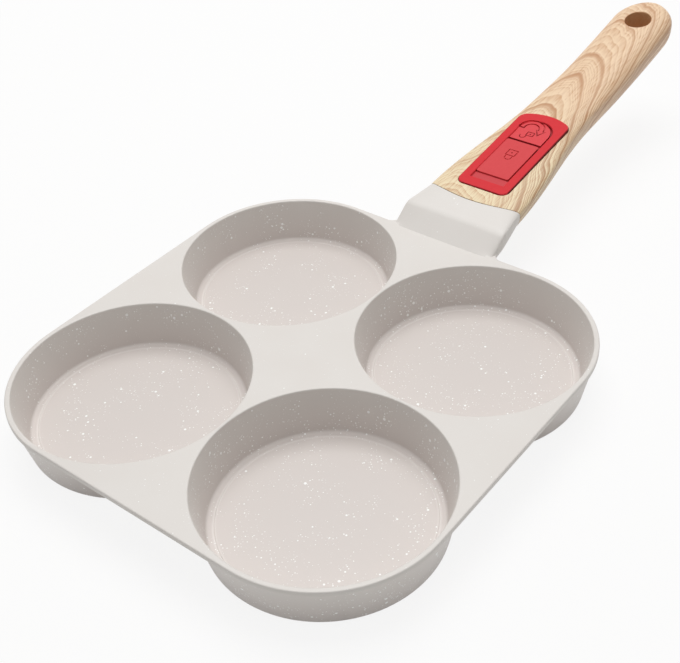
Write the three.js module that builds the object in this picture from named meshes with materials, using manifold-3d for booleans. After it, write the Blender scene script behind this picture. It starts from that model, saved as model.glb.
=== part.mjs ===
// Four-cup pancake pan with a lift-off handle, in millimetres, +Z up, handle along +Y.
// A cast pan body carries a tang. The grip slides over it and a sprung latch drops into its window.
// A thumb slide on top of the grip pulls a stirrup under the latch and lifts it out again.
import * as THREE from 'three';
import { mergeVertices } from 'three/addons/utils/BufferGeometryUtils.js';
import Module from 'manifold-3d';

const wasm = await Module();
wasm.setup();

// Cups and plate
const cupRimRadius = 46;
const cupDepth = 18.4;
const cupDraft = THREE.MathUtils.degToRad(11.5);
const cupGap = 1.2;
const cupWall = 1.8;
const cupFloor = 3;
const cupFloorFillet = 3;
const cupRimChamfer = 0.4;
const cupPadInset = 2.6;
const cupPadHeight = 0.4;
const cupFootFillet = 2;
const plateLip = 2.1;
const plateThickness = 2.4;
const plateEdgeRounding = 0.6;

// Steel base discs under the cups
const discRadius = 37;
const discThickness = 0.6;
const discProud = 0.2;
const discBond = 0.1;
const discRimClearance = 0.25;
const discHoleRadius = 2.2;
const discHoleRings = [[0, 1], [13, 6], [26, 12]];
const discHoleFacets = 8;

// Neck between plate and handle
const neckHalfWidth = 25.3;
const neckFillet = 4;
const neckRoot = 16;
const neckFoot = 1.8;
const neckRampRun = 11.1;
const neckRampRise = 6.8;
const neckTopRun = 14.5;
const neckTopRise = 2.6;
const neckBaseDepth = 6;
const neckCreaseDepth = 14;
const neckCreaseCrown = 2.4;
const neckRollCrown = 3.4;
const neckTopPower = 7;
const neckBottomPower = 3.6;
const neckFilletShares = [0, 0.25, 0.5, 1];

// Handle outline, measured along its own axis from the seam with the neck
const handleTilt = THREE.MathUtils.degToRad(7.5);
const seamHalfWidth = 23.2;
const seamDepth = 18;
const seamRadius = 66;
const seamSag = 3;
const seamSweep = THREE.MathUtils.degToRad(64);
const seamGap = 0.3;
const waistHalfWidth = 15.5;
const waistDepth = 19.4;
const waistAt = 82;
const tailHalfWidth = 15.4;
const tailDepth = 21.5;
const tailInset = 18.4;
const seamCrown = 3.6;
const tailCrown = 6;
const seamTopPower = 3.2;
const tailTopPower = 2.4;
const rounderFrom = 66;
const rounderTo = 115;
const gripBottomPower = 2.15;
const gripLift = 4;
const gripLiftFrom = 60;
const handleLength = 173.4;
const handleTip = 16;
const tipTurn = THREE.MathUtils.degToRad(87.3);
const tipWidthPower = 0.9;
const tipHeightPower = 0.3;
const hangingHoleRadius = 6.6;
const hangingHoleInset = 18.6;

// Tang of the casting and its socket in the grip
const tangHalfWidth = 11;
const tangLength = 28;
const tangThickness = 5;
const tangTop = -9.6;
const tangChamfer = 2;
const tangRoot = 14;
const socketClearance = 0.3;
const windowInset = 12.4;
const windowLength = 6.9;

// Lock bezel on top of the grip
const bezelStart = 5.7;
const bezelBeyondBoss = 5.6;
const bezelHalfWidth = 13;
const bezelCorner = 4;
const bezelFarCorner = 5;
const bezelBow = 24;
const bezelProud = 0.5;
const bezelThickness = 2.4;
const bezelClearance = 0.3;
const tongueLength = 2;
const tongueHalfWidth = 6;
const tongueThickness = 1.4;
const trackEndRim = 5.7;
const trackSideRim = 4.3;
const trackDepth = 1.4;

// Thumb slide and the stirrup under it
const lockTravel = 7;
const sliderAheadOfStem = 14.8;
const sliderLength = 27.4;
const sliderClearance = 0.4;
const sliderCorner = 1;
const sliderThickness = 0.9;
const stemBehindTang = 2.4;
const stemLength = 6;
const stemHalfWidth = 2.5;
const camPlateLength = 11;
const camPlateThickness = 1.3;
const camLegThickness = 2;
const camLegLength = 3.4;
const camBarRadius = 1.1;
const camScrewRadius = 0.8;
const camScrewHeadRadius = 1.9;
const camScrewHeadHeight = 1.1;

// Latch, its pin and its spring
const latchHalfWidth = 4;
const latchThickness = 2;
const pivotBehindStem = 16.6;
const latchPivotDrop = 8;
const latchHubRadius = 3.1;
const latchNoseLength = 5.6;
const latchNoseDepth = 3.8;
const latchNoseRamp = 2.4;
const latchTail = 8.4;
const latchRampRun = 9;
const latchAngle = THREE.MathUtils.degToRad(8.2);
const pinRadius = 1.5;
const pinSeat = 2;
const springRadius = 2.1;
const springWire = 0.6;
const springTurns = 4;
const springLength = 6.2;
const springTailInset = 2.9;

// Screw that holds the bezel, from the underside of the grip
const bossBehindLatch = 5.5;
const bossRadius = 2.7;
const bossLength = 5;
const screwRadius = 1.2;
const screwHeadRadius = 2.8;
const screwHeadHeight = 2;
const screwHeadSunk = 3;

// Fits that the moving pieces and the screws share
const runningGap = 0.3;
const pocketGap = 0.8;

// Facets round a cup, a small round piece, a rounded corner, the bow of the bezel, a handle section,
// the seam and the spring
const cupFacets = 40;
const smallFacets = 12;
const cornerFacets = 6;
const bowFacets = 7;
const sectionFacets = 24;
const seamFacets = 25;
const curlFacets = 8;
const wireFacets = 5;
const gripStations = 18;
const tipStations = 7;

// Sizes that follow
const panHeight = discProud + cupFloor + cupDepth;
const cupPitch = cupRimRadius + cupGap / 2;
const plateHalf = cupPitch + cupRimRadius + plateLip;
const floorRadius = cupRimRadius - cupDepth * Math.tan(cupDraft);
const seamY = plateHalf - neckFoot + neckRampRun + neckTopRun;
const seamZ = panHeight + neckRampRise + neckTopRise;
const tailAt = handleLength - tailInset;
const hangingHoleAt = handleLength - hangingHoleInset;
const windowStart = tangLength - windowInset;
const stemAt = tangLength + stemBehindTang;
const latchPivotAt = stemAt + pivotBehindStem;
const latchRampEnd = stemAt + latchRampRun;
const latchTailEnd = latchPivotAt + latchTail;
const bossAt = latchTailEnd + bossBehindLatch;
const bezelEnd = bossAt + bezelBeyondBoss;
const trackStart = bezelStart + trackEndRim;
const trackEnd = bezelEnd - trackEndRim;
const trackHalfWidth = bezelHalfWidth - trackSideRim;
const sliderStart = stemAt - sliderAheadOfStem;
const sliderEnd = sliderStart + sliderLength;
const bezelUnder = bezelProud - bezelThickness;
const trackFloor = bezelProud - trackDepth;
const latchBase = tangTop + 2 * runningGap;
const latchTop = latchBase + latchThickness;
const noseStart = windowStart + 2 * runningGap;
const legInner = latchHalfWidth + 2 * runningGap;
const legOuter = legInner + camLegThickness;
const pocketHalfWidth = legOuter + pocketGap;
const pocketEnd = latchTailEnd + pocketGap;
const camBarDrop = latchBase - runningGap - camBarRadius;
const camPlateTop = bezelUnder - runningGap;
const camPlateBottom = camPlateTop - camPlateThickness;
const deepFloor = camBarDrop - camBarRadius - pocketGap;
const springAt = latchTailEnd - springTailInset;
const springTop = latchBase - runningGap;
const farAway = 4 * handleLength;
const through = 4 * tailDepth;

// Turns a closed geometry into a solid: shared corners are merged and flat slivers at poles dropped.
function solidOf(source) {
  const bare = source.clone();
  bare.deleteAttribute('normal');
  bare.deleteAttribute('uv');
  const welded = mergeVertices(bare, 1e-4);
  const corners = welded.index.array;
  const triangles = [];
  for (let i = 0; i < corners.length; i += 3) {
    const [a, b, c] = corners.slice(i, i + 3);
    if (a !== b && b !== c && c !== a) triangles.push(a, b, c);
  }
  const mesh = new wasm.Mesh({
    numProp: 3,
    vertProperties: new Float32Array(welded.attributes.position.array),
    triVerts: new Uint32Array(triangles),
  });
  return new wasm.Manifold(mesh);
}

function geometryOf(solid) {
  const mesh = solid.getMesh();
  const geometry = new THREE.BufferGeometry();
  geometry.setAttribute('position', new THREE.BufferAttribute(new Float32Array(mesh.vertProperties), 3));
  geometry.setIndex(new THREE.BufferAttribute(new Uint32Array(mesh.triVerts), 1));
  geometry.computeVertexNormals();
  return geometry;
}

// A plan outline, x across and y along, raised from low to high.
function plan(shape, low, high) {
  const geometry = new THREE.ExtrudeGeometry(shape, {
    depth: high - low,
    bevelEnabled: false,
    curveSegments: cornerFacets / 2,
  });
  return geometry.translate(0, 0, low);
}

// A side outline, y along and z up, widened evenly to both sides of the centre plane.
function side(shape, halfWidth) {
  const geometry = plan(shape, -halfWidth, halfWidth);
  const turn = new THREE.Matrix4().makeBasis(
    new THREE.Vector3(0, 1, 0),
    new THREE.Vector3(0, 0, 1),
    new THREE.Vector3(1, 0, 0),
  );
  return geometry.applyMatrix4(turn);
}

function polygon(...points) {
  return new THREE.Shape(points.map(([x, y]) => new THREE.Vector2(x, y)));
}

// Corners of a regular polygon that stands for a circle.
function roundOutline(x, y, radius, facets) {
  return arcPoints(x, y, radius, 0, 2 * Math.PI, facets).slice(0, facets);
}

// A block between two corners.
function block(low, high) {
  const size = high.map((value, i) => value - low[i]);
  const middle = high.map((value, i) => (value + low[i]) / 2);
  return new THREE.BoxGeometry(...size).translate(...middle);
}

// A turned solid on the Z axis from a profile of [radius, height] points, axis to axis.
function turned(points, facets) {
  const profile = points.map(([radius, height]) => new THREE.Vector2(radius, height));
  return new THREE.LatheGeometry(profile, facets).rotateX(Math.PI / 2);
}

// A round bar along Z between two heights.
function roundBar(x, y, radius, low, high, facets = smallFacets) {
  return new THREE.CylinderGeometry(radius, radius, high - low, facets)
    .rotateX(Math.PI / 2)
    .translate(x, y, (low + high) / 2);
}

// A round bar along X, centred on the middle plane.
function crossBar(y, z, radius, halfLength, facets = smallFacets) {
  return new THREE.CylinderGeometry(radius, radius, 2 * halfLength, facets)
    .rotateZ(Math.PI / 2)
    .translate(0, y, z);
}

// Points of an arc in a profile, from one angle to another.
function arcPoints(x, y, radius, from, to, steps) {
  return Array.from({ length: steps + 1 }, (_, i) => {
    const angle = THREE.MathUtils.lerp(from, to, i / steps);
    return [x + radius * Math.cos(angle), y + radius * Math.sin(angle)];
  });
}

// An outline symmetric about the y axis with four rounded corners, grown by a clearance.
function roundedPlate(start, end, halfWidth, nearCorner, farCorner, grow = 0) {
  const [low, high, half] = [start - grow, end + grow, halfWidth + grow];
  const near = nearCorner + grow;
  const far = farCorner + grow;
  const shape = new THREE.Shape();
  shape.absarc(half - far, high - far, far, 0, Math.PI / 2);
  shape.absarc(-half + far, high - far, far, Math.PI / 2, Math.PI);
  shape.absarc(-half + near, low + near, near, Math.PI, 1.5 * Math.PI);
  shape.absarc(half - near, low + near, near, 1.5 * Math.PI, 2 * Math.PI);
  return shape;
}

// Skin over a row of rings with equal point counts, closed by a fan at each end.
function loft(rings) {
  const count = rings[0].length;
  const position = rings.flat().flatMap((point) => point.toArray());
  const index = [];
  for (let ring = 0; ring < rings.length - 1; ring += 1) {
    for (let i = 0; i < count; i += 1) {
      const a = ring * count + i;
      const b = ring * count + (i + 1) % count;
      index.push(a, a + count, b, b, a + count, b + count);
    }
  }
  const last = (rings.length - 1) * count;
  for (let i = 1; i < count - 1; i += 1) {
    index.push(0, i, i + 1);
    index.push(last, last + i + 1, last + i);
  }
  const geometry = new THREE.BufferGeometry();
  geometry.setAttribute('position', new THREE.Float32BufferAttribute(position, 3));
  geometry.setIndex(index);
  return geometry;
}

// A rounded section: flat-crowned above its widest line, fuller below it. Its top line is at zero.
function section({ halfWidth, crown, depth, topPower, bottomPower }) {
  return Array.from({ length: sectionFacets }, (_, i) => {
    const angle = 2 * Math.PI * i / sectionFacets;
    const [across, up] = [Math.cos(angle), Math.sin(angle)];
    const power = up >= 0 ? topPower : bottomPower;
    const height = up >= 0 ? crown : depth - crown;
    const x = halfWidth * Math.sign(across) * Math.abs(across) ** (2 / power);
    const z = height * Math.sign(up) * Math.abs(up) ** (2 / power) - crown;
    return [x, z];
  });
}

// Sets a section on edge at a point of the middle plane, leaning back by a tilt.
function ringAt(y, z, tilt, shape) {
  const [sine, cosine] = [Math.sin(tilt), Math.cos(tilt)];
  return section(shape).map(([x, up]) => new THREE.Vector3(x, y - up * sine, z + up * cosine));
}

// Blends from 1 down to 0 along a half wave between two places.
function easeDown(value, from, to) {
  const share = THREE.MathUtils.clamp((value - from) / (to - from), 0, 1);
  return (1 + Math.cos(Math.PI * share)) / 2;
}

// Section of the grip at a distance along the handle, without the rounded tip.
function gripSection(along) {
  const flare = easeDown(along, 0, waistAt);
  const swell = 1 - easeDown(along, waistAt, tailAt);
  const rounder = 1 - easeDown(along, rounderFrom, rounderTo);
  const blend = (seam, waist, tail) => waist + (seam - waist) * flare + (tail - waist) * swell;
  return {
    halfWidth: blend(seamHalfWidth, waistHalfWidth, tailHalfWidth),
    crown: THREE.MathUtils.lerp(seamCrown, tailCrown, rounder),
    depth: blend(seamDepth, waistDepth, tailDepth),
    topPower: THREE.MathUtils.lerp(seamTopPower, tailTopPower, rounder),
    bottomPower: gripBottomPower,
  };
}

// Height of the top line of the grip, which sweeps up towards the tail.
function gripTop(along) {
  const share = Math.max(0, along - gripLiftFrom) / (tailAt - gripLiftFrom);
  return gripLift * share ** 2;
}

// Everything on one side of the curved seam, in the frame of the handle.
function seamSide(ahead, gap) {
  const reach = seamRadius * Math.sin(seamSweep);
  const centre = seamRadius - seamSag + gap;
  const first = -Math.PI / 2 - seamSweep;
  const edge = arcPoints(0, centre, seamRadius, first, first + 2 * seamSweep, seamFacets);
  const far = ahead ? farAway : -farAway;
  const outline = [...edge, [reach, far], [-reach, far]];
  return plan(polygon(...(ahead ? outline : outline.reverse())), -farAway, farAway);
}

// Where the head of the bezel screw seats, sunk in the underside of the grip.
const screwSeat = screwHeadSunk + screwHeadHeight - gripSection(bossAt).depth;

const handleFrame = new THREE.Group();
handleFrame.position.set(0, seamY, seamZ);
handleFrame.rotation.x = handleTilt;
handleFrame.updateMatrix();

function inHandle(geometry) {
  return geometry.applyMatrix4(handleFrame.matrix);
}

const cupPlaces = [
  ['back_left', -cupPitch, cupPitch],
  ['back_right', cupPitch, cupPitch],
  ['front_left', -cupPitch, -cupPitch],
  ['front_right', cupPitch, -cupPitch],
];

// Plate with corners that run round the cups.
function plateSolid() {
  const corner = cupRimRadius + plateLip;
  const outline = roundedPlate(-plateHalf, plateHalf, plateHalf, corner, corner);
  const geometry = new THREE.ExtrudeGeometry(outline, {
    depth: plateThickness - 2 * plateEdgeRounding,
    bevelThickness: plateEdgeRounding,
    bevelSize: plateEdgeRounding,
    bevelOffset: -plateEdgeRounding,
    bevelSegments: 1,
    curveSegments: cupFacets / 8,
  });
  return solidOf(geometry.translate(0, 0, panHeight - plateThickness + plateEdgeRounding));
}

// Outside of a cup, up to the middle of the plate.
function cupOutside(x, y) {
  const top = panHeight - plateThickness / 2;
  const radiusAt = (z) => cupRimRadius + cupWall - (panHeight - z) * Math.tan(cupDraft);
  const footCentre = radiusAt(discProud + cupFootFillet) - cupFootFillet / Math.cos(cupDraft);
  const footHeight = discProud + cupFootFillet;
  const foot = arcPoints(footCentre, footHeight, cupFootFillet, -Math.PI / 2, -cupDraft, 3);
  const profile = [[0, discProud], ...foot, [radiusAt(top), top], [0, top]];
  return solidOf(turned(profile, cupFacets).translate(x, y, 0));
}

// Inside of a cup: a low pad on the floor, a fillet, the drafted wall and a broken rim edge.
function cupInside(x, y) {
  const floor = panHeight - cupDepth;
  const above = panHeight + plateThickness;
  const wallSlope = Math.tan(cupDraft);
  const filletRadius = floorRadius + cupFloorFillet * wallSlope - cupFloorFillet / Math.cos(cupDraft);
  const filletHeight = floor + cupFloorFillet;
  const fillet = arcPoints(filletRadius, filletHeight, cupFloorFillet, -Math.PI / 2, -cupDraft, 3);
  const padEdge = filletRadius - cupPadInset + cupFloorFillet / 2;
  const profile = [
    [0, floor + cupPadHeight],
    [padEdge - 2 * cupPadHeight, floor + cupPadHeight],
    [padEdge, floor],
    ...fillet,
    [cupRimRadius - cupRimChamfer * wallSlope, panHeight - cupRimChamfer],
    [cupRimRadius + cupRimChamfer, panHeight],
    [cupRimRadius + cupRimChamfer, above],
    [0, above],
  ];
  return solidOf(turned(profile, cupFacets).translate(x, y, 0));
}

// Neck lofted from under the plate, up its ramp and over the crease to the section of the grip.
function neckSolid() {
  const flat = { topPower: neckTopPower, bottomPower: neckBottomPower };
  const rampAt = (run) => panHeight + neckRampRise * run / neckRampRun;
  const flareAt = (run) => {
    const left = Math.max(0, neckFillet - run);
    return neckFillet - Math.sqrt(neckFillet ** 2 - left ** 2);
  };
  const footY = plateHalf - neckFoot;
  const rings = [ringAt(plateHalf - neckRoot, panHeight - plateThickness / 4, 0, {
    halfWidth: neckHalfWidth,
    crown: plateThickness / 4,
    depth: plateThickness / 2,
    ...flat,
  }), ringAt(footY, panHeight, 0, {
    halfWidth: neckHalfWidth,
    crown: plateThickness / 2,
    depth: neckBaseDepth,
    ...flat,
  })];
  for (const share of neckFilletShares) {
    const run = neckFoot + share * neckFillet;
    const along = run / neckRampRun;
    rings.push(ringAt(footY + run, rampAt(run), 0, {
      halfWidth: neckHalfWidth + flareAt(share * neckFillet),
      crown: THREE.MathUtils.lerp(neckRollCrown, neckCreaseCrown, along),
      depth: THREE.MathUtils.lerp(neckBaseDepth, neckCreaseDepth, along),
      ...flat,
    }));
  }
  rings.push(ringAt(footY + neckRampRun, rampAt(neckRampRun), handleTilt / 2, {
    halfWidth: neckHalfWidth,
    crown: neckCreaseCrown,
    depth: neckCreaseDepth,
    ...flat,
  }));
  const beyond = seamHalfWidth ** 2 / seamRadius;
  for (const along of [0, beyond]) {
    const y = seamY + along * Math.cos(handleTilt);
    const z = seamZ + along * Math.sin(handleTilt);
    rings.push(ringAt(y, z, handleTilt, gripSection(along)));
  }
  return solidOf(loft(rings)).subtract(solidOf(inHandle(seamSide(true, 0))));
}

// Tongue of the casting that the grip slides over, with the window for the latch.
function tangSolid() {
  const outline = polygon(
    [-tangHalfWidth, -tangRoot],
    [tangHalfWidth, -tangRoot],
    [tangHalfWidth, tangLength - tangChamfer],
    [tangHalfWidth - tangChamfer, tangLength],
    [-tangHalfWidth + tangChamfer, tangLength],
    [-tangHalfWidth, tangLength - tangChamfer],
  );
  const windowHalf = latchHalfWidth + 2 * runningGap;
  const tang = solidOf(inHandle(plan(outline, tangTop - tangThickness, tangTop)));
  return tang.subtract(solidOf(inHandle(block(
    [-windowHalf, windowStart, tangTop - 2 * tangThickness],
    [windowHalf, windowStart + windowLength, tangTop + tangThickness],
  ))));
}

function panBody() {
  const recessDepth = discThickness + discBond;
  let pan = plateSolid().add(neckSolid()).add(tangSolid());
  for (const [, x, y] of cupPlaces) pan = pan.add(cupOutside(x, y));
  for (const [, x, y] of cupPlaces) {
    const recess = roundBar(x, y, discRadius + discRimClearance, -cupFloor, recessDepth, cupFacets);
    pan = pan.subtract(cupInside(x, y)).subtract(solidOf(recess));
  }
  return geometryOf(pan);
}

// Steel disc with rings of holes that key it into the aluminium.
function baseDisc(x, y) {
  const outline = polygon(...roundOutline(0, 0, discRadius, cupFacets));
  for (const [ring, count] of discHoleRings) {
    for (const [holeX, holeY] of roundOutline(0, 0, ring, count)) {
      outline.holes.push(polygon(...roundOutline(holeX, holeY, discHoleRadius, discHoleFacets)));
    }
  }
  return geometryOf(solidOf(plan(outline, 0, discThickness).translate(x, y, 0)));
}

// Outside of the grip, from ahead of the seam to the rounded tip.
function gripOutside() {
  const tipStart = handleLength - handleTip;
  const rings = [];
  const front = -2 * seamSag;
  for (let i = 0; i <= gripStations; i += 1) {
    const along = THREE.MathUtils.lerp(front, tipStart, i / gripStations);
    rings.push(ringAt(along, gripTop(along), 0, gripSection(along)));
  }
  const shape = gripSection(tipStart);
  for (let i = 1; i <= tipStations; i += 1) {
    const angle = tipTurn * i / tipStations;
    const along = tipStart + handleTip * Math.sin(angle);
    const keep = Math.cos(angle) ** tipHeightPower;
    const lost = shape.crown * (1 - keep);
    rings.push(ringAt(along, gripTop(along) - lost, 0, {
      ...shape,
      halfWidth: shape.halfWidth * Math.cos(angle) ** tipWidthPower,
      crown: shape.crown * keep,
      depth: shape.depth - 2 * lost,
    }));
  }
  return solidOf(loft(rings));
}

// Outline of the bezel, bowed at its far end and grown by the clearance of its recess.
function bezelOutline(grow) {
  const near = bezelCorner + grow;
  const nearX = bezelHalfWidth - bezelCorner;
  const nearY = bezelStart + bezelCorner;
  const far = bezelFarCorner + grow;
  const farX = bezelHalfWidth - bezelFarCorner;
  const bowY = bezelEnd - bezelBow;
  const spread = Math.asin(farX / (bezelBow - bezelFarCorner));
  const farY = bowY + (bezelBow - bezelFarCorner) * Math.cos(spread);
  const [first, last] = [Math.PI / 2 - spread, Math.PI / 2 + spread];
  return polygon(
    ...arcPoints(farX, farY, far, 0, first, cornerFacets),
    ...arcPoints(0, bowY, bezelBow + grow, first, last, bowFacets).slice(1, -1),
    ...arcPoints(-farX, farY, far, last, Math.PI, cornerFacets),
    ...arcPoints(-nearX, nearY, near, Math.PI, 1.5 * Math.PI, cornerFacets),
    ...arcPoints(nearX, nearY, near, 1.5 * Math.PI, 2 * Math.PI, cornerFacets),
  );
}

function handleGrip() {
  const seat = bezelUnder - runningGap;
  const recess = bezelOutline(bezelClearance);
  const socketHalf = tangHalfWidth + socketClearance;
  const socketFloor = tangTop - tangThickness - socketClearance;
  const socketEnd = tangLength + socketClearance;
  const pinSlotHalf = pinRadius + runningGap;
  const pinReach = pocketHalfWidth + pinSeat + runningGap;
  const pinFloor = -latchPivotDrop - pinSlotHalf;
  const bossHole = bossRadius + runningGap;
  const bossFloor = bezelUnder - bossLength - runningGap;
  const screwHole = screwRadius + runningGap;
  const headHole = screwHeadRadius + runningGap;
  const springHole = springRadius + springWire + runningGap;
  const springFloor = springTop - springLength - runningGap;
  const tongueFloor = bezelUnder - tongueThickness - runningGap;
  const cuts = [
    seamSide(false, seamGap),
    plan(recess, seat, through),
    block([-socketHalf, -seamRadius, socketFloor], [socketHalf, socketEnd, tangTop + socketClearance]),
    block(
      [-pocketHalfWidth, noseStart - pocketGap, tangTop],
      [pocketHalfWidth, tangLength + pocketGap, through],
    ),
    block([-pocketHalfWidth, tangLength, deepFloor], [pocketHalfWidth, pocketEnd, through]),
    block(
      [-pinReach, latchPivotAt - pinSlotHalf, pinFloor],
      [pinReach, latchPivotAt + pinSlotHalf, through],
    ),
    block(
      [-tongueHalfWidth - runningGap, bezelStart - tongueLength - runningGap, tongueFloor],
      [tongueHalfWidth + runningGap, bezelStart + tongueLength, bezelUnder + runningGap],
    ),
    roundBar(0, bossAt, bossHole, bossFloor, through),
    roundBar(0, bossAt, screwHole, -through, through),
    roundBar(0, bossAt, headHole, -through, screwSeat),
    roundBar(0, springAt, springHole, springFloor, through),
    roundBar(0, hangingHoleAt, hangingHoleRadius, -through, through, 2 * smallFacets),
  ];
  return geometryOf(cuts.reduce((grip, cut) => grip.subtract(solidOf(cut)), gripOutside()));
}

// Track outline: square at the pan end, arched at the far end.
function trackOutline() {
  const springing = trackEnd - trackHalfWidth;
  const shape = new THREE.Shape();
  shape.moveTo(-trackHalfWidth, trackStart);
  shape.lineTo(trackHalfWidth, trackStart);
  shape.lineTo(trackHalfWidth, springing);
  shape.absarc(0, springing, trackHalfWidth, 0, Math.PI);
  shape.lineTo(-trackHalfWidth, trackStart);
  return shape;
}

function lockBezel() {
  const outline = bezelOutline(0);
  const slotHalf = stemHalfWidth + sliderClearance;
  const slotStart = stemAt - stemLength / 2 - sliderClearance;
  const slotEnd = stemAt + stemLength / 2 + lockTravel + sliderClearance;
  const postInner = pocketHalfWidth + runningGap;
  const postOuter = pocketHalfWidth + pinSeat;
  const postBottom = -latchPivotDrop + pinRadius + runningGap;
  const pilot = screwRadius + runningGap / 2;
  let bezel = solidOf(plan(outline, bezelUnder, bezelProud));
  bezel = bezel.subtract(solidOf(plan(trackOutline(), trackFloor, through)));
  bezel = bezel.subtract(solidOf(block([-slotHalf, slotStart, -through], [slotHalf, slotEnd, through])));
  bezel = bezel.add(solidOf(block(
    [-tongueHalfWidth, bezelStart - tongueLength, bezelUnder - tongueThickness],
    [tongueHalfWidth, bezelStart + tongueLength, bezelUnder + tongueThickness / 2],
  )).subtract(solidOf(block(
    [-bezelHalfWidth, bezelStart - 2 * tongueLength, bezelUnder],
    [bezelHalfWidth, bezelStart, bezelProud],
  ))));
  for (const hand of [-1, 1]) {
    const across = [hand * postInner, hand * postOuter].sort((a, b) => a - b);
    bezel = bezel.add(solidOf(block(
      [across[0], latchPivotAt - pinRadius, postBottom],
      [across[1], latchPivotAt + pinRadius, bezelUnder + trackDepth / 2],
    )));
  }
  const boss = roundBar(0, bossAt, bossRadius, bezelUnder - bossLength, trackFloor - runningGap);
  bezel = bezel.add(solidOf(boss));
  return geometryOf(bezel.subtract(solidOf(roundBar(0, bossAt, pilot, -through, bezelUnder))));
}

function lockSlider() {
  const half = trackHalfWidth - sliderClearance;
  const low = trackFloor + runningGap;
  const outline = roundedPlate(sliderStart, sliderEnd, half, sliderCorner, sliderCorner);
  const stem = block(
    [-stemHalfWidth, stemAt - stemLength / 2, camPlateTop + runningGap],
    [stemHalfWidth, stemAt + stemLength / 2, low + sliderThickness / 2],
  );
  const pilot = roundBar(0, stemAt, camScrewRadius + runningGap / 2, -through, low);
  const slider = solidOf(plan(outline, low, low + sliderThickness));
  return geometryOf(slider.add(solidOf(stem)).subtract(solidOf(pilot)));
}

// Stirrup: a plate under the bezel, two legs beside the latch and a bar under it.
function sliderCam() {
  let cam = solidOf(block(
    [-legOuter, stemAt - camPlateLength / 2, camPlateBottom],
    [legOuter, stemAt + camPlateLength / 2, camPlateTop],
  ));
  for (const hand of [-1, 1]) {
    const across = [hand * legInner, hand * legOuter].sort((a, b) => a - b);
    cam = cam.add(solidOf(block(
      [across[0], stemAt - camLegLength / 2, camBarDrop - camBarRadius],
      [across[1], stemAt + camLegLength / 2, camPlateTop - camPlateThickness / 2],
    )));
  }
  cam = cam.add(solidOf(crossBar(stemAt, camBarDrop, camBarRadius, legInner + camLegThickness / 2)));
  const hole = roundBar(0, stemAt, camScrewRadius + runningGap, camPlateBottom - runningGap, through);
  return geometryOf(cam.subtract(solidOf(hole)));
}

// A pan-head screw along Z, its head below and its end above.
function screw(y, radius, headRadius, headHeight, headTop, end) {
  const headBottom = headTop - headHeight;
  return turned([
    [0, headBottom],
    [headRadius - headHeight / 4, headBottom],
    [headRadius, headBottom + headHeight / 4],
    [headRadius, headTop],
    [radius, headTop],
    [radius, end - radius],
    [radius / 2, end],
    [0, end],
  ], smallFacets).translate(0, y, 0);
}

function camScrew() {
  const headTop = camPlateBottom - runningGap;
  const shape = screw(stemAt, camScrewRadius, camScrewHeadRadius, camScrewHeadHeight, headTop, trackFloor);
  return geometryOf(solidOf(shape));
}

function bezelScrew() {
  const headTop = screwSeat - runningGap;
  const end = bezelUnder - runningGap;
  const shape = screw(bossAt, screwRadius, screwHeadRadius, screwHeadHeight, headTop, end);
  return geometryOf(solidOf(shape));
}

// Underside of the latch where the stirrup's bar ends its travel, in the frame of the latch at rest.
function rampPoint() {
  const reach = stemAt + lockTravel - latchPivotAt;
  const drop = camBarDrop + camBarRadius + latchPivotDrop;
  const [sine, cosine] = [Math.sin(latchAngle), Math.cos(latchAngle)];
  return [
    latchPivotAt + reach * cosine - drop * sine,
    -latchPivotDrop + reach * sine + drop * cosine + runningGap,
  ];
}

// Lever with a hooked nose, an underside that ramps down to the stirrup's bar, a hub and a tail.
function latchLever() {
  const noseEnd = noseStart + latchNoseLength;
  const noseTip = latchBase - latchNoseDepth;
  const [rampY, rampZ] = rampPoint();
  const slope = (rampZ - latchBase) / (rampY - stemAt);
  const rampLow = latchBase + slope * (latchRampEnd - stemAt);
  const arm = polygon(
    [noseStart, latchTop],
    [noseStart, latchBase],
    [noseStart + latchNoseRamp, noseTip],
    [noseEnd, noseTip],
    [noseEnd, latchBase],
    [stemAt, latchBase],
    [latchRampEnd, rampLow],
    [latchPivotAt, -latchPivotDrop - latchHubRadius + 2 * runningGap],
    [latchPivotAt, latchTop],
  );
  const tail = polygon(
    [latchPivotAt, latchBase],
    [latchTailEnd, latchBase],
    [latchTailEnd, latchTop],
    [latchPivotAt, latchTop],
  );
  const hubHalf = pocketHalfWidth - runningGap;
  const hub = crossBar(latchPivotAt, -latchPivotDrop, latchHubRadius, hubHalf, 2 * smallFacets);
  const bore = crossBar(latchPivotAt, -latchPivotDrop, pinRadius + runningGap, 2 * hubHalf);
  const lever = solidOf(side(arm, latchHalfWidth)).add(solidOf(side(tail, latchHalfWidth)));
  return geometryOf(lever.add(solidOf(hub)).subtract(solidOf(bore)));
}

function latchPin() {
  return geometryOf(solidOf(crossBar(latchPivotAt, -latchPivotDrop, pinRadius, pocketHalfWidth + pinSeat)));
}

// Coil of the compression spring, climbing at a steady rate between its seats.
class Coil extends THREE.Curve {
  getPoint(share, target = new THREE.Vector3()) {
    const angle = 2 * Math.PI * springTurns * share;
    const rise = springLength - 2 * springWire;
    const z = springTop - springLength + springWire + rise * share;
    return target.set(springRadius * Math.cos(angle), springAt + springRadius * Math.sin(angle), z);
  }
}

function latchSpring() {
  const coil = new Coil();
  const steps = curlFacets * springTurns;
  const points = coil.getPoints(steps);
  let least = Infinity;
  for (let i = 0; i < points.length; i += 1) {
    for (let j = i + curlFacets / 2; j < points.length; j += 1) {
      least = Math.min(least, points[i].distanceTo(points[j]) - springWire);
    }
  }
  console.log(`latch_spring: least gap to itself ${least.toFixed(2)} mm`);
  const wire = polygon(...roundOutline(0, 0, springWire / 2, wireFacets));
  const geometry = new THREE.ExtrudeGeometry(wire, { steps, bevelEnabled: false, extrudePath: coil });
  return geometryOf(solidOf(geometry));
}

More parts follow.
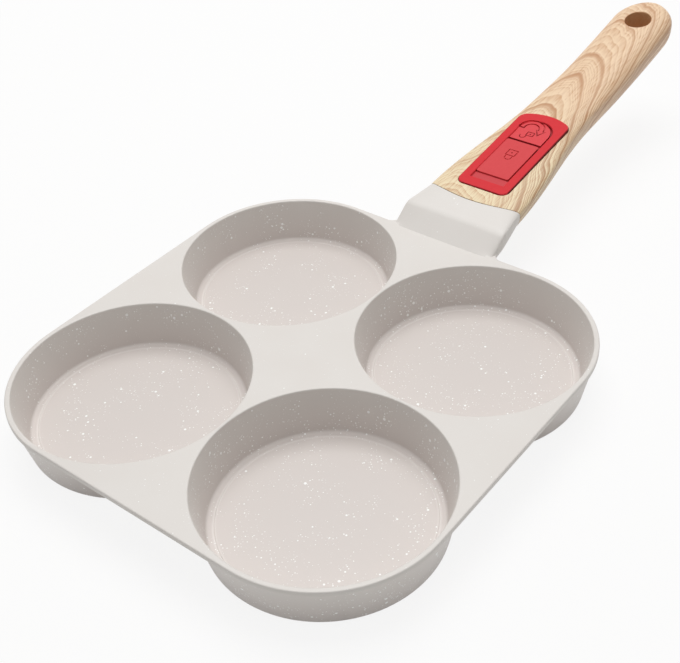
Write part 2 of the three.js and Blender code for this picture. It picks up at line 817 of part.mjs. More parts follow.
// Finishes
function finish(color, roughness, metalness) {
  return new THREE.MeshStandardMaterial({ color, roughness, metalness });
}

const coating = finish(0xd9d5cf, 0.55, 0);
const steel = finish(0xb4b4b2, 0.35, 1);
const wood = finish(0xe3c49a, 0.5, 0);
const bezelRed = finish(0xe03a44, 0.45, 0);
const sliderRed = finish(0xd2505a, 0.45, 0);
const nylon = finish(0x2b2b2b, 0.6, 0);

function piece(name, geometry, material) {
  const mesh = new THREE.Mesh(geometry, material);
  mesh.name = name;
  return mesh;
}

handleFrame.add(
  piece('handle_grip', handleGrip(), wood),
  piece('lock_bezel', lockBezel(), bezelRed),
  piece('lock_slider', lockSlider(), sliderRed),
  piece('slider_cam', sliderCam(), nylon),
  piece('cam_screw', camScrew(), steel.clone()),
  piece('latch', latchLever(), steel.clone()),
  piece('latch_pin', latchPin(), steel.clone()),
  piece('latch_spring', latchSpring(), steel.clone()),
  piece('bezel_screw', bezelScrew(), steel.clone()),
);

const pan = new THREE.Group();
pan.add(piece('pan_body', panBody(), coating), handleFrame);
for (const [place, x, y] of cupPlaces) {
  pan.add(piece(`base_disc_${place}`, baseDisc(x, y), steel.clone()));
}

// The origin is the middle of the footprint, on the hob.
const bounds = new THREE.Box3().setFromObject(pan, true);
const middle = bounds.getCenter(new THREE.Vector3());
pan.position.set(-middle.x, -middle.y, -bounds.min.z);

const pancakePan = new THREE.Group();
pancakePan.add(pan);

export default pancakePan;
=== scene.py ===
# %% [markdown]
# A four-cup pancake pan, dressed for rendering around its CAD model.
# The CAD model is loaded first as a fixed frame. Each finer piece made below takes its place
# from it, and moves with one of its bodies.

# %% Load the frame
import math

import bmesh
import bpy
import numpy as np
from mathutils import Matrix, Vector


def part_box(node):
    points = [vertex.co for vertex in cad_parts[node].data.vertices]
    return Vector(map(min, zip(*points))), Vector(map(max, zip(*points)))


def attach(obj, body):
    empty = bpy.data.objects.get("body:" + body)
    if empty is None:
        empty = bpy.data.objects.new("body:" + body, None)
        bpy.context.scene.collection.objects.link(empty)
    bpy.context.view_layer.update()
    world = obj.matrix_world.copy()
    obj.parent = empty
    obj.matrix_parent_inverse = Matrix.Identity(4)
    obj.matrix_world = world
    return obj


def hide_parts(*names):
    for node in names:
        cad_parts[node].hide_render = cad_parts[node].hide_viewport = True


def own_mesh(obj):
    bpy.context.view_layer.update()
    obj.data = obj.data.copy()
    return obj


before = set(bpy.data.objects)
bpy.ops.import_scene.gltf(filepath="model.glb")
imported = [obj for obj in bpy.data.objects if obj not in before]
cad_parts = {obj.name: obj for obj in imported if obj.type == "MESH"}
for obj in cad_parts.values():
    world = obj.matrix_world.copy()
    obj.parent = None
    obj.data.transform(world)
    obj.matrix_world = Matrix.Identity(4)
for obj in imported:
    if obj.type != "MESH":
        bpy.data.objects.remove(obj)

scene = bpy.context.scene
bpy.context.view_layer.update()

# %% [markdown]
# Shapes are worked out in millimetres, in two frames. The pan's frame has its origin under the
# middle of the four cups, on the hob. The handle's frame starts at the seam with the neck:
# x across, y along, z up from the top line. One matrix for each frame then carries a finished
# mesh into the metres of the CAD model.

# %% Frames and main sizes
MM = 0.001
CUP_RADIUS = 46.0
CUP_PITCH = 46.6
PLATE_HALF = 94.7
PAN_TOP = 21.6
SEAM_Y = 118.5
SEAM_Z = 31.0
HANDLE_TILT = math.radians(7.5)

pan_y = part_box("pan_body")[0].y / MM + PLATE_HALF
PAN = Matrix.Diagonal((MM, MM, MM, 1)) @ Matrix.Translation((0, pan_y, 0))
HANDLE_ON_PAN = Matrix.Translation((0, SEAM_Y, SEAM_Z)) @ Matrix.Rotation(HANDLE_TILT, 4, "X")
HANDLE = PAN @ HANDLE_ON_PAN
seam_point = HANDLE @ Vector((0, 0, 0))
print("seam, metres:", [round(v, 5) for v in seam_point])

# %% [markdown]
# Nearly every solid here is a skin over a stack of rings: a lathe shape is a stack of circles, a
# plate a stack of outlines and the handle a stack of sections. Rings could also be bridged by hand
# in Edit Mode, but here each one follows named sizes. Solids are then joined and cut with the exact
# boolean, which keeps edges crisp where a remesh would round them.

# %% Rings and skins
WELD = 1e-5


def circle(radius, z, facets, x, y):
    turn = np.linspace(0, 2 * math.pi, facets, endpoint=False)
    level = np.full(facets, float(z))
    return np.stack([x + radius * np.cos(turn), y + radius * np.sin(turn), level], 1)


def arc(x, y, radius, first, last, steps):
    turn = np.radians(np.linspace(first, last, steps + 1))
    return np.stack([x + radius * np.cos(turn), y + radius * np.sin(turn)], 1)


def at_height(outline, z):
    return np.column_stack([outline, np.full(len(outline), float(z))])


def skin(name, rings):
    count = len(rings[0])
    points = np.concatenate(rings)
    faces = []
    for start in range(0, len(points) - count, count):
        for i in range(count):
            j = (i + 1) % count
            faces.append((start + i, start + j, start + count + j, start + count + i))
    faces.append(tuple(range(count)))
    faces.append(tuple(range(len(points) - count, len(points))))
    mesh = bpy.data.meshes.new(name)
    mesh.from_pydata(points.tolist(), [], faces)
    shell = bmesh.new()
    shell.from_mesh(mesh)
    bmesh.ops.remove_doubles(shell, verts=shell.verts, dist=WELD)
    bmesh.ops.recalc_face_normals(shell, faces=shell.faces)
    shell.to_mesh(mesh)
    shell.free()
    solid = bpy.data.objects.new(name, mesh)
    scene.collection.objects.link(solid)
    return solid


def block(low, high):
    (x0, y0, z0), (x1, y1, z1) = low, high
    outline = np.array([(x0, y0), (x1, y0), (x1, y1), (x0, y1)], float)
    return skin("block", [at_height(outline, z0), at_height(outline, z1)])


def bar(x, y, radius, low, high, facets=48):
    return skin("bar", [circle(radius, low, facets, x, y), circle(radius, high, facets, x, y)])


def prism(outline, low, high):
    return skin("prism", [at_height(outline, low), at_height(outline, high)])


print("rings are welded within", WELD, "of a millimetre")

# %% [markdown]
# Two more helpers finish a piece. The first joins and cuts solids. The second carries a mesh to
# its place, smooths it but keeps its sharp edges, gives it its finish, and tells the frame which
# body it moves with and which CAD nodes it stands for.

# %% Cuts and finished pieces
def carve(base, joins=(), cuts=()):
    for mode, others in (("UNION", joins), ("DIFFERENCE", cuts)):
        for other in others:
            step = base.modifiers.new(mode, "BOOLEAN")
            step.operation = mode
            step.solver = "EXACT"
            step.object = other
    scene.view_layers[0].update()
    solved = base.evaluated_get(bpy.context.evaluated_depsgraph_get())
    made = bpy.data.meshes.new_from_object(solved)
    base.modifiers.clear()
    base.data = made
    for other in (*joins, *cuts):
        bpy.data.objects.remove(other)
    return base


def settle(piece, name, matrix, finish, body, nodes, sharp=30):
    piece.name = name
    piece.data.name = name
    piece.data.transform(matrix)
    piece.data.shade_smooth()
    piece.data.set_sharp_from_angle(angle=math.radians(sharp))
    piece.modifiers.new("flat faces stay flat", "WEIGHTED_NORMAL").keep_sharp = True
    piece.data.materials.clear()
    piece.data.materials.append(finish)
    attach(piece, body)
    if nodes:
        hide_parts(*nodes)
    print(name, "faces:", len(piece.data.polygons))
    return piece


print("a finished piece is cut, placed, smoothed and given to a body")

# %% [markdown]
# Colours are written as the sRGB hex values that a picture shows, and one function makes them
# linear for the shader. One more function adds a node to a material with its settings and links,
# so that a finish reads as a short list. A node given as an input links its first output.
# Most finishes are coats of colour, so a last function lays tints over each other by their shares.

# %% Colour and node helpers
MATH = "ShaderNodeMath"
VECTOR_MATH = "ShaderNodeVectorMath"
MAP_RANGE = "ShaderNodeMapRange"
MAPPING = "ShaderNodeMapping"
MIX = "ShaderNodeMix"
NOISE = "ShaderNodeTexNoise"
BUMP = "ShaderNodeBump"
SPLIT = "ShaderNodeSeparateXYZ"
SPLIT_COLOUR = "ShaderNodeSeparateColor"


def linear(hex_code):
    shares = [int(hex_code[i:i + 2], 16) / 255 for i in (1, 3, 5)]
    lit = [c / 12.92 if c <= 0.04045 else ((c + 0.055) / 1.055) ** 2.4 for c in shares]
    return (*lit, 1.0)


def add(tree, kind, inputs=None, **settings):
    node = tree.nodes.new(kind)
    for name, value in settings.items():
        setattr(node, name, value)
    for socket, value in (inputs or {}).items():
        if isinstance(value, bpy.types.Node):
            value = value.outputs[0]
        if isinstance(value, bpy.types.NodeSocket):
            tree.links.new(value, node.inputs[socket])
        else:
            node.inputs[socket].default_value = value
    return node


def paint_over(tree, colour, layers):
    for share, tint in layers:
        coat_of_paint = {"Factor": share, "A": colour, "B": linear(tint)}
        colour = add(tree, MIX, coat_of_paint, data_type="RGBA").outputs[2]
    return colour


def new_finish(name, roughness, metallic=0.0):
    finish = bpy.data.materials.new(name)
    finish.use_nodes = True
    tree = finish.node_tree
    shader = tree.nodes["Principled BSDF"]
    shader.inputs["Roughness"].default_value = roughness
    shader.inputs["Metallic"].default_value = metallic
    place = add(tree, "ShaderNodeTexCoord").outputs["Object"]
    return finish, tree, shader, place


def on_handle(tree, place):
    frame_of_handle = {"Vector": place, "Location": seam_point, "Rotation": (HANDLE_TILT, 0, 0),
                       "Scale": (MM, MM, MM)}
    return add(tree, MAPPING, frame_of_handle, vector_type="TEXTURE")


print("mid grey is", round(linear("#808080")[0], 3), "in linear light")

# %% [markdown]
# The pan is cast aluminium under a sprayed ceramic-type non-stick coat: a warm pale grey, satin
# and without a mirror image, with white flecks. Painted shade makes the coat a little warmer and
# darker towards the bottom of the cups, and a painted highlight makes it pale on a ring round each
# floor, at the edge of its low pad. It could be painted as an image, but that needs an unfolded map
# of the casting. A rule needs none, and all four cups share it: folding the plan onto one quarter
# gives the distance to the nearest cup's centre.

# %% Finish: ground of the sprayed coat
COAT = "#E4E0DB"
COAT_WARM = "#DFD9D3"
# Painted shade: darker and warmer towards the bottom of the cups.
COAT_PAINTED_SHADE = "#D8D0CB"
# Painted highlight: a pale ring round each floor, at the edge of its low pad.
COAT_RING_HIGHLIGHT = "#E6E0DC"
TONE_PATCH = 22.0
DEEP_FROM, DEEP_TO = 20.0, 5.0
RING_AT, RING_HALF = 39.4, 1.0
RING_FROM, RING_TO = 6.0, 5.0


def plan_distance(tree, place, centre):
    centred = add(tree, VECTOR_MATH, {0: place, 1: centre}, operation="SUBTRACT")
    flat = add(tree, VECTOR_MATH, {0: centred, 1: (1.0, 1.0, 0.0)}, operation="MULTIPLY")
    return add(tree, VECTOR_MATH, {0: flat}, operation="LENGTH").outputs["Value"]


def cup_radius(tree, place):
    middle = (0.0, pan_y * MM, 0.0)
    cup_centre = (CUP_PITCH * MM, CUP_PITCH * MM, 0.0)
    shifted = add(tree, VECTOR_MATH, {0: place, 1: middle}, operation="SUBTRACT")
    quarter = add(tree, VECTOR_MATH, {0: shifted}, operation="ABSOLUTE")
    return plan_distance(tree, quarter, cup_centre)


# Satin, so that lamps show as a soft sheen and the cups shade like matt paint.
coat, tree, shader, place = new_finish("sprayed ceramic non-stick coat", 0.42)
height = add(tree, SPLIT, {"Vector": place}).outputs["Z"]
tone = add(tree, NOISE, {"Vector": place, "Scale": 1 / (TONE_PATCH * MM), "Detail": 2.0})
# Painted shade: the coat turns darker and warmer from 20 mm down to 5 mm above the hob.
cup_shade = add(tree, MAP_RANGE, {"Value": height, "From Min": DEEP_FROM * MM, "From Max": DEEP_TO * MM})
# Painted highlight: a pale ring round each floor, at the edge of its low pad.
off_ring = add(tree, MATH, {0: cup_radius(tree, place), 1: RING_AT * MM}, operation="SUBTRACT")
beside = add(tree, MATH, {0: off_ring}, operation="ABSOLUTE")
near_ring = add(tree, MAP_RANGE, {"Value": beside, "From Min": RING_HALF * MM, "From Max": 0.0})
low = add(tree, MAP_RANGE, {"Value": height, "From Min": RING_FROM * MM, "From Max": RING_TO * MM})
ring_highlight = add(tree, MATH, {0: near_ring, 1: low}, operation="MULTIPLY")
coat_layers = ((tone, COAT_WARM), (cup_shade, COAT_PAINTED_SHADE), (ring_highlight, COAT_RING_HIGHLIGHT))
colour = paint_over(tree, linear(COAT), coat_layers)
print("ground of", coat.name, "has", len(coat_layers) + 1, "tones")

# %% [markdown]
# The flecks are round grains of three sizes, so three Voronoi textures mark the points close to a
# cell's centre. Each cell draws a lot, which sets how large its fleck is. A slow noise thins them
# out in places, because sprayed flecks gather in loose clusters, and they are fewest on the plate.
# A spacing and a size in millimetres give each grain. The finest are drawn a little coarser than on
# the real coat, because they would vanish between two pixels. A last fine noise gives the orange
# peel of sprayed paint, as a slight bump.

# %% Finish: flecks of the sprayed coat
FLECK = "#FFFFFD"
FLECK_GRAINS = ((3.1, 0.44), (1.5, 0.24), (1.0, 0.19))
FLECK_SPREAD, FLECK_EDGE = 1.5, 0.1
PLATE_FLECKS, WALL_FLECKS, FLOOR_FLECKS = 0.55, 1.12, 0.95
FLECK_LAYERS = ((4.5, 6.0, FLOOR_FLECKS, WALL_FLECKS), (18.0, 21.5, 1.0, PLATE_FLECKS / WALL_FLECKS))
FLECK_CLUSTER = 13.0
PEEL, PEEL_DEPTH = 0.9, 0.05

cluster = add(tree, NOISE, {"Vector": place, "Scale": 1 / (FLECK_CLUSTER * MM), "Detail": 1.0})
crowd = add(tree, MAP_RANGE, {"Value": cluster, "From Min": 0.25, "From Max": 0.55})
for first, last, before, after in FLECK_LAYERS:
    layer = add(tree, MAP_RANGE, {"Value": height, "From Min": first * MM, "From Max": last * MM,
                                  "To Min": before, "To Max": after})
    crowd = add(tree, MATH, {0: crowd, 1: layer}, operation="MULTIPLY")
flecks = []
for spacing, grain in FLECK_GRAINS:
    cells = add(tree, "ShaderNodeTexVoronoi", {"Vector": place, "Scale": 1 / (spacing * MM),
                                               "Randomness": 1.0})
    lot = add(tree, SPLIT_COLOUR, {"Color": cells.outputs["Color"]})
    reach = add(tree, MATH, {0: lot, 1: crowd}, operation="MULTIPLY")
    edge = add(tree, MATH, {0: reach, 1: grain / spacing * FLECK_SPREAD}, operation="MULTIPLY")
    inside = add(tree, MATH, {0: edge, 1: cells.outputs["Distance"]}, operation="SUBTRACT")
    mark = add(tree, MAP_RANGE, {"Value": inside, "From Min": 0.0, "From Max": FLECK_EDGE / spacing})
    flecks.append((mark, FLECK))
colour = paint_over(tree, colour, flecks)
tree.links.new(colour, shader.inputs["Base Color"])
peel = add(tree, NOISE, {"Vector": place, "Scale": 1 / (PEEL * MM), "Detail": 1.0})
spray = add(tree, BUMP, {"Height": peel, "Strength": 0.06, "Distance": PEEL_DEPTH * MM})
tree.links.new(spray.outputs[0], shader.inputs["Normal"])
print("finish:", coat.name, "with flecks of", len(FLECK_GRAINS), "sizes")

# %% [markdown]
# The grip is a moulding printed with a beech or ash grain. A picture of wood could be wrapped round
# it, but would smear at the nose and in the hanging hole. So the material counts growth rings, as
# in a tree. They are shells round the pith, a little cone-shaped, and a plank that cuts them shows
# arches on top and long streaks on its sides. Here each ring is an arch over the top line that
# sweeps down the sides as a parabola, and a slow noise bends the arches.

# %% Finish: growth rings of the printed wood
ARCH_PITCH, ARCH_RADIUS, ARCH_SKEW = 24.0, 4.6, 1.0
PLANK_SWING = (14.0, 42.0)
WANDER, WANDER_BACK, RING_DRIFT = 9.0, -3.0, 15.0
NARROW_END, NARROW_SHARE = 82.0, 0.67
RING_JITTER = 1.2


def stretched(across, along):
    return 1 / across, 1 / along, 1 / across


# A printed film under satin lacquer: clear lines with no depth, and a soft highlight.
wood, tree, shader, place = new_finish("moulded grip with printed wood grain", 0.4)
local = on_handle(tree, place)
at = add(tree, SPLIT, {"Vector": local}).outputs
slow = add(tree, MAPPING, {"Vector": local, "Scale": stretched(*PLANK_SWING)})
warp = add(tree, NOISE, {"Vector": slow, "Scale": 1.0, "Detail": 2.0})
swing = add(tree, SPLIT_COLOUR, {"Color": warp.outputs["Color"]}).outputs
narrow = add(tree, MAP_RANGE, {"Value": at["Y"], "From Min": 0.0, "From Max": NARROW_END,
                               "To Min": NARROW_SHARE, "To Max": 1.0},
             interpolation_type="SMOOTHSTEP")
across = add(tree, MATH, {0: at["X"], 1: narrow}, operation="MULTIPLY")
wander = add(tree, MATH, {0: swing[0], 1: WANDER, 2: WANDER_BACK}, operation="MULTIPLY_ADD")
aside = add(tree, MATH, {0: across, 1: wander}, operation="ADD")
level = add(tree, MATH, {0: aside}, operation="ABSOLUTE")
round_way = add(tree, MATH, {0: level, 1: at["Z"]}, operation="SUBTRACT")
square = add(tree, MATH, {0: round_way, 1: round_way}, operation="MULTIPLY")
arch = add(tree, MATH, {0: square, 1: 0.5 / ARCH_RADIUS, 2: at["Y"]}, operation="MULTIPLY_ADD")
skew = add(tree, MATH, {0: across, 1: ARCH_SKEW, 2: arch}, operation="MULTIPLY_ADD")
drift = add(tree, MATH, {0: swing[1], 1: RING_DRIFT, 2: skew}, operation="MULTIPLY_ADD")
ring = add(tree, MATH, {0: drift, 1: ARCH_PITCH}, operation="DIVIDE")
jitter = add(tree, NOISE, {"W": ring, "Scale": 0.9, "Detail": 1.0}, noise_dimensions="1D")
uneven = add(tree, MATH, {0: jitter, 1: RING_JITTER, 2: ring}, operation="MULTIPLY_ADD")
print("growth rings, about", ARCH_PITCH, "mm apart")

# %% [markdown]
# The colour follows the rings, in coats laid one over the other as a printer lays inks. It darkens
# along each ring and drops back sharply, as late wood does. Between the rings run finer lines,
# broken up by fibres, with dark streaks and short pores. The print is palest near the seam, bolder
# towards the tail and darkest on one flank. The wall of the hanging hole is bare plastic in a
# darker tan.

# %% Finish: colours of the printed wood
WOOD_PALE = "#F0DFBA"
WOOD_LIGHT = "#EED1AF"
WOOD_FINE = "#C9986B"
WOOD_LATE = "#BB865A"
WOOD_DARK = "#9C6840"
WOOD_HOLE = "#CC9A6A"
FINE_LINES, FINE_POWER, FLANK_LINES = 6.3, 1.7, 0.9
FIBRE, PORE = (0.6, 9.0), (0.5, 2.6)
EMBOSS_DEPTH = 0.1
HOLE_AT, HANG_RADIUS, HANG_EDGE = 154.8, 6.6, 0.35
HOLE_TINT_EDGE = 0.05

growth = add(tree, MATH, {0: uneven}, operation="FRACT")
early = add(tree, MAP_RANGE, {"Value": growth, "From Min": 0.68, "From Max": 0.95},
            interpolation_type="SMOOTHSTEP")
drop = add(tree, MAP_RANGE, {"Value": growth, "From Min": 1.0, "From Max": 0.95})
late = add(tree, MATH, {0: early, 1: drop}, operation="MULTIPLY")
fine = add(tree, MATH, {0: uneven, 1: FINE_LINES}, operation="MULTIPLY")
fine_growth = add(tree, MATH, {0: fine}, operation="FRACT")
fine_late = add(tree, MATH, {0: fine_growth, 1: FINE_POWER}, operation="POWER")
stretch = add(tree, MAPPING, {"Vector": local, "Scale": stretched(*FIBRE)})
fibre = add(tree, NOISE, {"Vector": stretch, "Scale": 1.0, "Detail": 2.0})
fibre_gain = add(tree, MAP_RANGE, {"Value": fibre, "From Min": 0.3, "From Max": 0.7,
                                   "To Min": 0.2, "To Max": 1.0})
fibred = add(tree, MATH, {0: fine_late, 1: fibre_gain}, operation="MULTIPLY")
streaks = add(tree, MAP_RANGE, {"Value": fibre, "From Min": 0.5, "From Max": 0.72, "To Max": 0.4})
dash = add(tree, MAPPING, {"Vector": local, "Scale": stretched(*PORE)})
pore = add(tree, NOISE, {"Vector": dash, "Scale": 1.0, "Detail": 1.0})
pores = add(tree, MAP_RANGE, {"Value": pore, "From Min": 0.67, "From Max": 0.77, "To Max": 0.5})
ageing = add(tree, MAP_RANGE, {"Value": at["Y"], "From Min": 30.0, "From Max": 85.0})
strength = add(tree, MAP_RANGE, {"Value": swing[2], "From Min": 0.35, "From Max": 0.65,
                                 "To Min": 0.55, "To Max": 1.0})
calm = add(tree, MAP_RANGE, {"Value": at["Y"], "From Min": 20.0, "From Max": 70.0,
                             "To Min": 0.5, "To Max": 1.0})
bold = add(tree, MATH, {0: strength, 1: calm}, operation="MULTIPLY")
late_share = add(tree, MATH, {0: late, 1: bold}, operation="MULTIPLY")
flank = add(tree, MAP_RANGE, {"Value": across, "From Min": 7.0, "From Max": 14.0, "To Max": 0.68})
flank_line = add(tree, MATH, {0: fine_late, 1: FLANK_LINES}, operation="MULTIPLY")
flank_grain = add(tree, MATH, {0: late, 1: flank_line}, operation="MAXIMUM")
dark_share = add(tree, MATH, {0: flank_grain, 1: flank}, operation="MULTIPLY")
hole_way = plan_distance(tree, local, (0.0, HOLE_AT, 0.0))
hole_share = add(tree, MAP_RANGE, {"Value": hole_way, "From Min": HANG_RADIUS + HANG_EDGE,
                                   "From Max": HANG_RADIUS + HOLE_TINT_EDGE, "To Max": 0.8})
wood_layers = ((ageing, WOOD_LIGHT), (fibred, WOOD_FINE), (late_share, WOOD_LATE),
               (dark_share, WOOD_DARK), (pores, WOOD_LATE), (streaks, WOOD_LATE),
               (hole_share, WOOD_HOLE))
colour = paint_over(tree, linear(WOOD_PALE), wood_layers)
tree.links.new(colour, shader.inputs["Base Color"])
emboss = add(tree, BUMP, {"Height": fibre, "Strength": 0.12, "Distance": EMBOSS_DEPTH * MM})
tree.links.new(emboss.outputs[0], shader.inputs["Normal"])
print("finish:", wood.name, "in", len(wood_layers) + 1, "coats")

# %% [markdown]
# The lock is moulded ABS, red, with the fine grain of a spark-eroded mould, which gives a broad
# dull highlight. It could be one flat red, but the bezel takes painted light and shade: its sunk
# face is painted paler, and its floor, sides and near end painted darker, as shade in the recess
# and along its edges. These zones are set by height, width and length in the frame of the handle.
# The slide is matter than the bezel, and the stirrup under it is black nylon.

# %% Finishes: moulded plastics
PLASTIC_SHINE = 0.16
PIT_DEPTH, MOTTLE_GRAINS = 0.03, 6
# Zones of painted light and shade: where each begins and is complete, in mm, and its red:
# sunk face painted paler, strip and floor painted with the shade of the recess, sides and near end
# painted with edge shade.
BEZEL_LIGHT_AND_SHADE = (("up", 0.4, 0.25, "#E1484E"), ("up", -0.2, -0.35, "#CE444A"),
               ("up", -0.45, -0.6, "#9E2229"), ("wide", 12.5, 12.9, "#7E161C"),
               ("along", 6.1, 5.8, "#A31D25"))


def moulded(name, colour, shade, roughness, grain, light_and_shade=()):
    finish, tree, shader, place = new_finish(name, roughness)
    shader.inputs["Specular IOR Level"].default_value = PLASTIC_SHINE
    mottle = add(tree, NOISE, {"Vector": place, "Scale": 1 / (grain * MOTTLE_GRAINS * MM),
                               "Detail": 3.0})
    layers = [(mottle, shade)]
    # Zones of painted light and shade: each paints its red by height, width or length.
    if light_and_shade:
        at = add(tree, SPLIT, {"Vector": on_handle(tree, place)}).outputs
        width = add(tree, MATH, {0: at["X"]}, operation="ABSOLUTE")
        ways = {"up": at["Z"], "wide": width, "along": at["Y"]}
        for way, first, last, hue in light_and_shade:
            painted_zone = add(tree, MAP_RANGE, {"Value": ways[way], "From Min": first, "From Max": last})
            layers.append((painted_zone, hue))
    tint = paint_over(tree, linear(colour), layers)
    tree.links.new(tint, shader.inputs["Base Color"])
    pits = add(tree, NOISE, {"Vector": place, "Scale": 1 / (grain * MM), "Detail": 2.0})
    bump = add(tree, BUMP, {"Height": pits, "Strength": 0.15, "Distance": PIT_DEPTH * MM})
    tree.links.new(bump.outputs[0], shader.inputs["Normal"])
    return finish


# Smooth ABS: a clear red with a soft gloss, and zones of painted light and shade.
bezel_red = moulded("red ABS of the bezel", "#DC2C34", "#D52630", 0.36, 0.35, BEZEL_LIGHT_AND_SHADE)
# Grained ABS: the same red, paler and flat, for grip under the thumb.
slide_red = moulded("matt red ABS of the slide", "#DC4C50", "#D54549", 0.55, 0.3)
# Nylon: nearly black, with a waxy dullness.
nylon = moulded("black nylon", "#242425", "#1C1C1D", 0.55, 0.5)
print("finishes:", bezel_red.name, "|", slide_red.name, "|", nylon.name)

# %% [markdown]
# Base discs, screws, latch, pin and spring are metal. A metal takes its look from its roughness,
# so noise varies that and leaves the colour alone. A turned sheet has its tool marks in circles,
# so its noise reads only the distance to the cup's centre. Tool marks are drawn coarser than real
# ones, about half a millimetre, so that they show.

# %% Finishes: metals
MARK_DEPTH = 0.02


def worked_metal(name, colour, roughness, spread, grit, turned=False):
    finish, tree, shader, place = new_finish(name, roughness, 1.0)
    vector = place
    if turned:
        vector = add(tree, "ShaderNodeCombineXYZ", {"X": cup_radius(tree, place)})
    lines = add(tree, NOISE, {"Vector": vector, "Scale": 1 / (grit * MM), "Detail": 3.0})
    rough = add(tree, MAP_RANGE, {"Value": lines, "From Min": 0.3, "From Max": 0.7,
                                  "To Min": roughness - spread, "To Max": roughness + spread})
    tree.links.new(rough.outputs[0], shader.inputs["Roughness"])
    shader.inputs["Base Color"].default_value = linear(colour)
    bump = add(tree, BUMP, {"Height": lines, "Strength": 0.2, "Distance": MARK_DEPTH * MM})
    tree.links.new(bump.outputs[0], shader.inputs["Normal"])
    return finish


# Turned steel: fine circles that draw the highlight out into a fan.
disc_steel = worked_metal("turned stainless steel", "#BDBBB7", 0.34, 0.1, 0.45, turned=True)
# Pressed aluminium: paler and duller than the steel round it.
plug_aluminium = worked_metal("pressed aluminium", "#C9C9C8", 0.45, 0.08, 0.4)
# Zinc plating: a bright, slightly warm grey.
zinc = worked_metal("zinc-plated screw steel", "#C6C5C0", 0.3, 0.08, 0.6)
# Stamped sheet: a mid grey with a brushed dullness.
latch_steel = worked_metal("stamped steel", "#AFAEAB", 0.38, 0.1, 0.5)
# Drawn wire: a dark, smooth grey.
spring_steel = worked_metal("drawn spring steel", "#A3A3A3", 0.3, 0.08, 0.3)
metals = (disc_steel, plug_aluminium, zinc, latch_steel, spring_steel)
print("finishes:", " | ".join(metal.name for metal in metals))

# %% [markdown]
# The casting is a plate with a rounded edge, four drafted cups under it, the neck and the tang
# for the handle. The plate could be a box with bevels, but a stack of outlines lets its outline
# have a short tongue with hollow corners, on which the neck stands.

# %% Plate
PLATE_THICK = 2.4
PLATE_LIP = 2.1
PLATE_EDGE = 0.6
NECK_HALF, NECK_FILLET = 25.3, 4.0
CORNER_STEPS, FILLET_STEPS = 40, 12


def rounded_plate(start, end, half, corner, grow, steps=12):
    radius = corner + grow
    side, low, high = half + grow - radius, start - grow + radius, end + grow - radius
    return np.concatenate([
        arc(side, high, radius, 0, 90, steps),
        arc(-side, high, radius, 90, 180, steps),
        arc(-side, low, radius, 180, 270, steps),
        arc(side, low, radius, 270, 360, steps),
    ])


def edge_steps(radius, steps=5):
    turn = np.linspace(0, math.pi / 2, steps + 1)
    return [(radius * (1 - math.cos(a)), radius * (1 - math.sin(a))) for a in turn]


def plate_ring(inset, z):
    half = PLATE_HALF - inset
    corner = CUP_RADIUS + PLATE_LIP - inset
    outline = rounded_plate(-half, half, half, corner, 0.0, CORNER_STEPS)
    x, y, hollow = NECK_HALF + NECK_FILLET, PLATE_HALF + NECK_FILLET, NECK_FILLET + inset
    tongue = np.concatenate([arc(x, y, hollow, 270, 180, FILLET_STEPS),
                             arc(-x, y, hollow, 0, -90, FILLET_STEPS)])
    return at_height(np.insert(outline, CORNER_STEPS + 1, tongue, axis=0), z)


def plate():
    under_z = PAN_TOP - PLATE_THICK
    edge = edge_steps(PLATE_EDGE)
    under = [plate_ring(inset, under_z + drop) for inset, drop in reversed(edge)]
    upper = [plate_ring(inset, PAN_TOP - drop) for inset, drop in edge]
    return skin("plate", under + upper)


print("plate outline:", len(plate_ring(0.0, PAN_TOP)), "points")

# %% [markdown]
# A cup is round, so each side of it is a lathe profile. A Screw modifier could spin the profile,
# but a stack of circles gives the same skin straight at its place. The outside has a rounded foot.
# The inside has a low pad on the floor, a round corner, the drafted wall and a softly broken rim.
# It is made as a core and cut out of the joined casting, as the core of the mould forms it.

# %% Cups
DRAFT = math.radians(11.5)
CUP_DEPTH = 18.4
CUP_WALL = 1.8
FLOOR_FILLET = 1.3
RIM_ROUND = 0.6
PAD_HEIGHT = 0.3
PAD_INSET = 1.6
FOOT_Z = 0.2
FOOT_FILLET = 2.0
ROUND = 128
CUPS = [(x, y) for y in (CUP_PITCH, -CUP_PITCH) for x in (-CUP_PITCH, CUP_PITCH)]


def outer_wall(z):
    return CUP_RADIUS + CUP_WALL - (PAN_TOP - z) * math.tan(DRAFT)


def cup_outside(x, y):
    centre = outer_wall(FOOT_Z + FOOT_FILLET) - FOOT_FILLET / math.cos(DRAFT)
    profile = arc(centre, FOOT_Z + FOOT_FILLET, FOOT_FILLET, -90, -math.degrees(DRAFT), 8)
    top = PAN_TOP - PLATE_THICK / 2
    rings = [circle(r, z, ROUND, x, y) for r, z in profile]
    return skin("cup outside", rings + [circle(outer_wall(top), top, ROUND, x, y)])


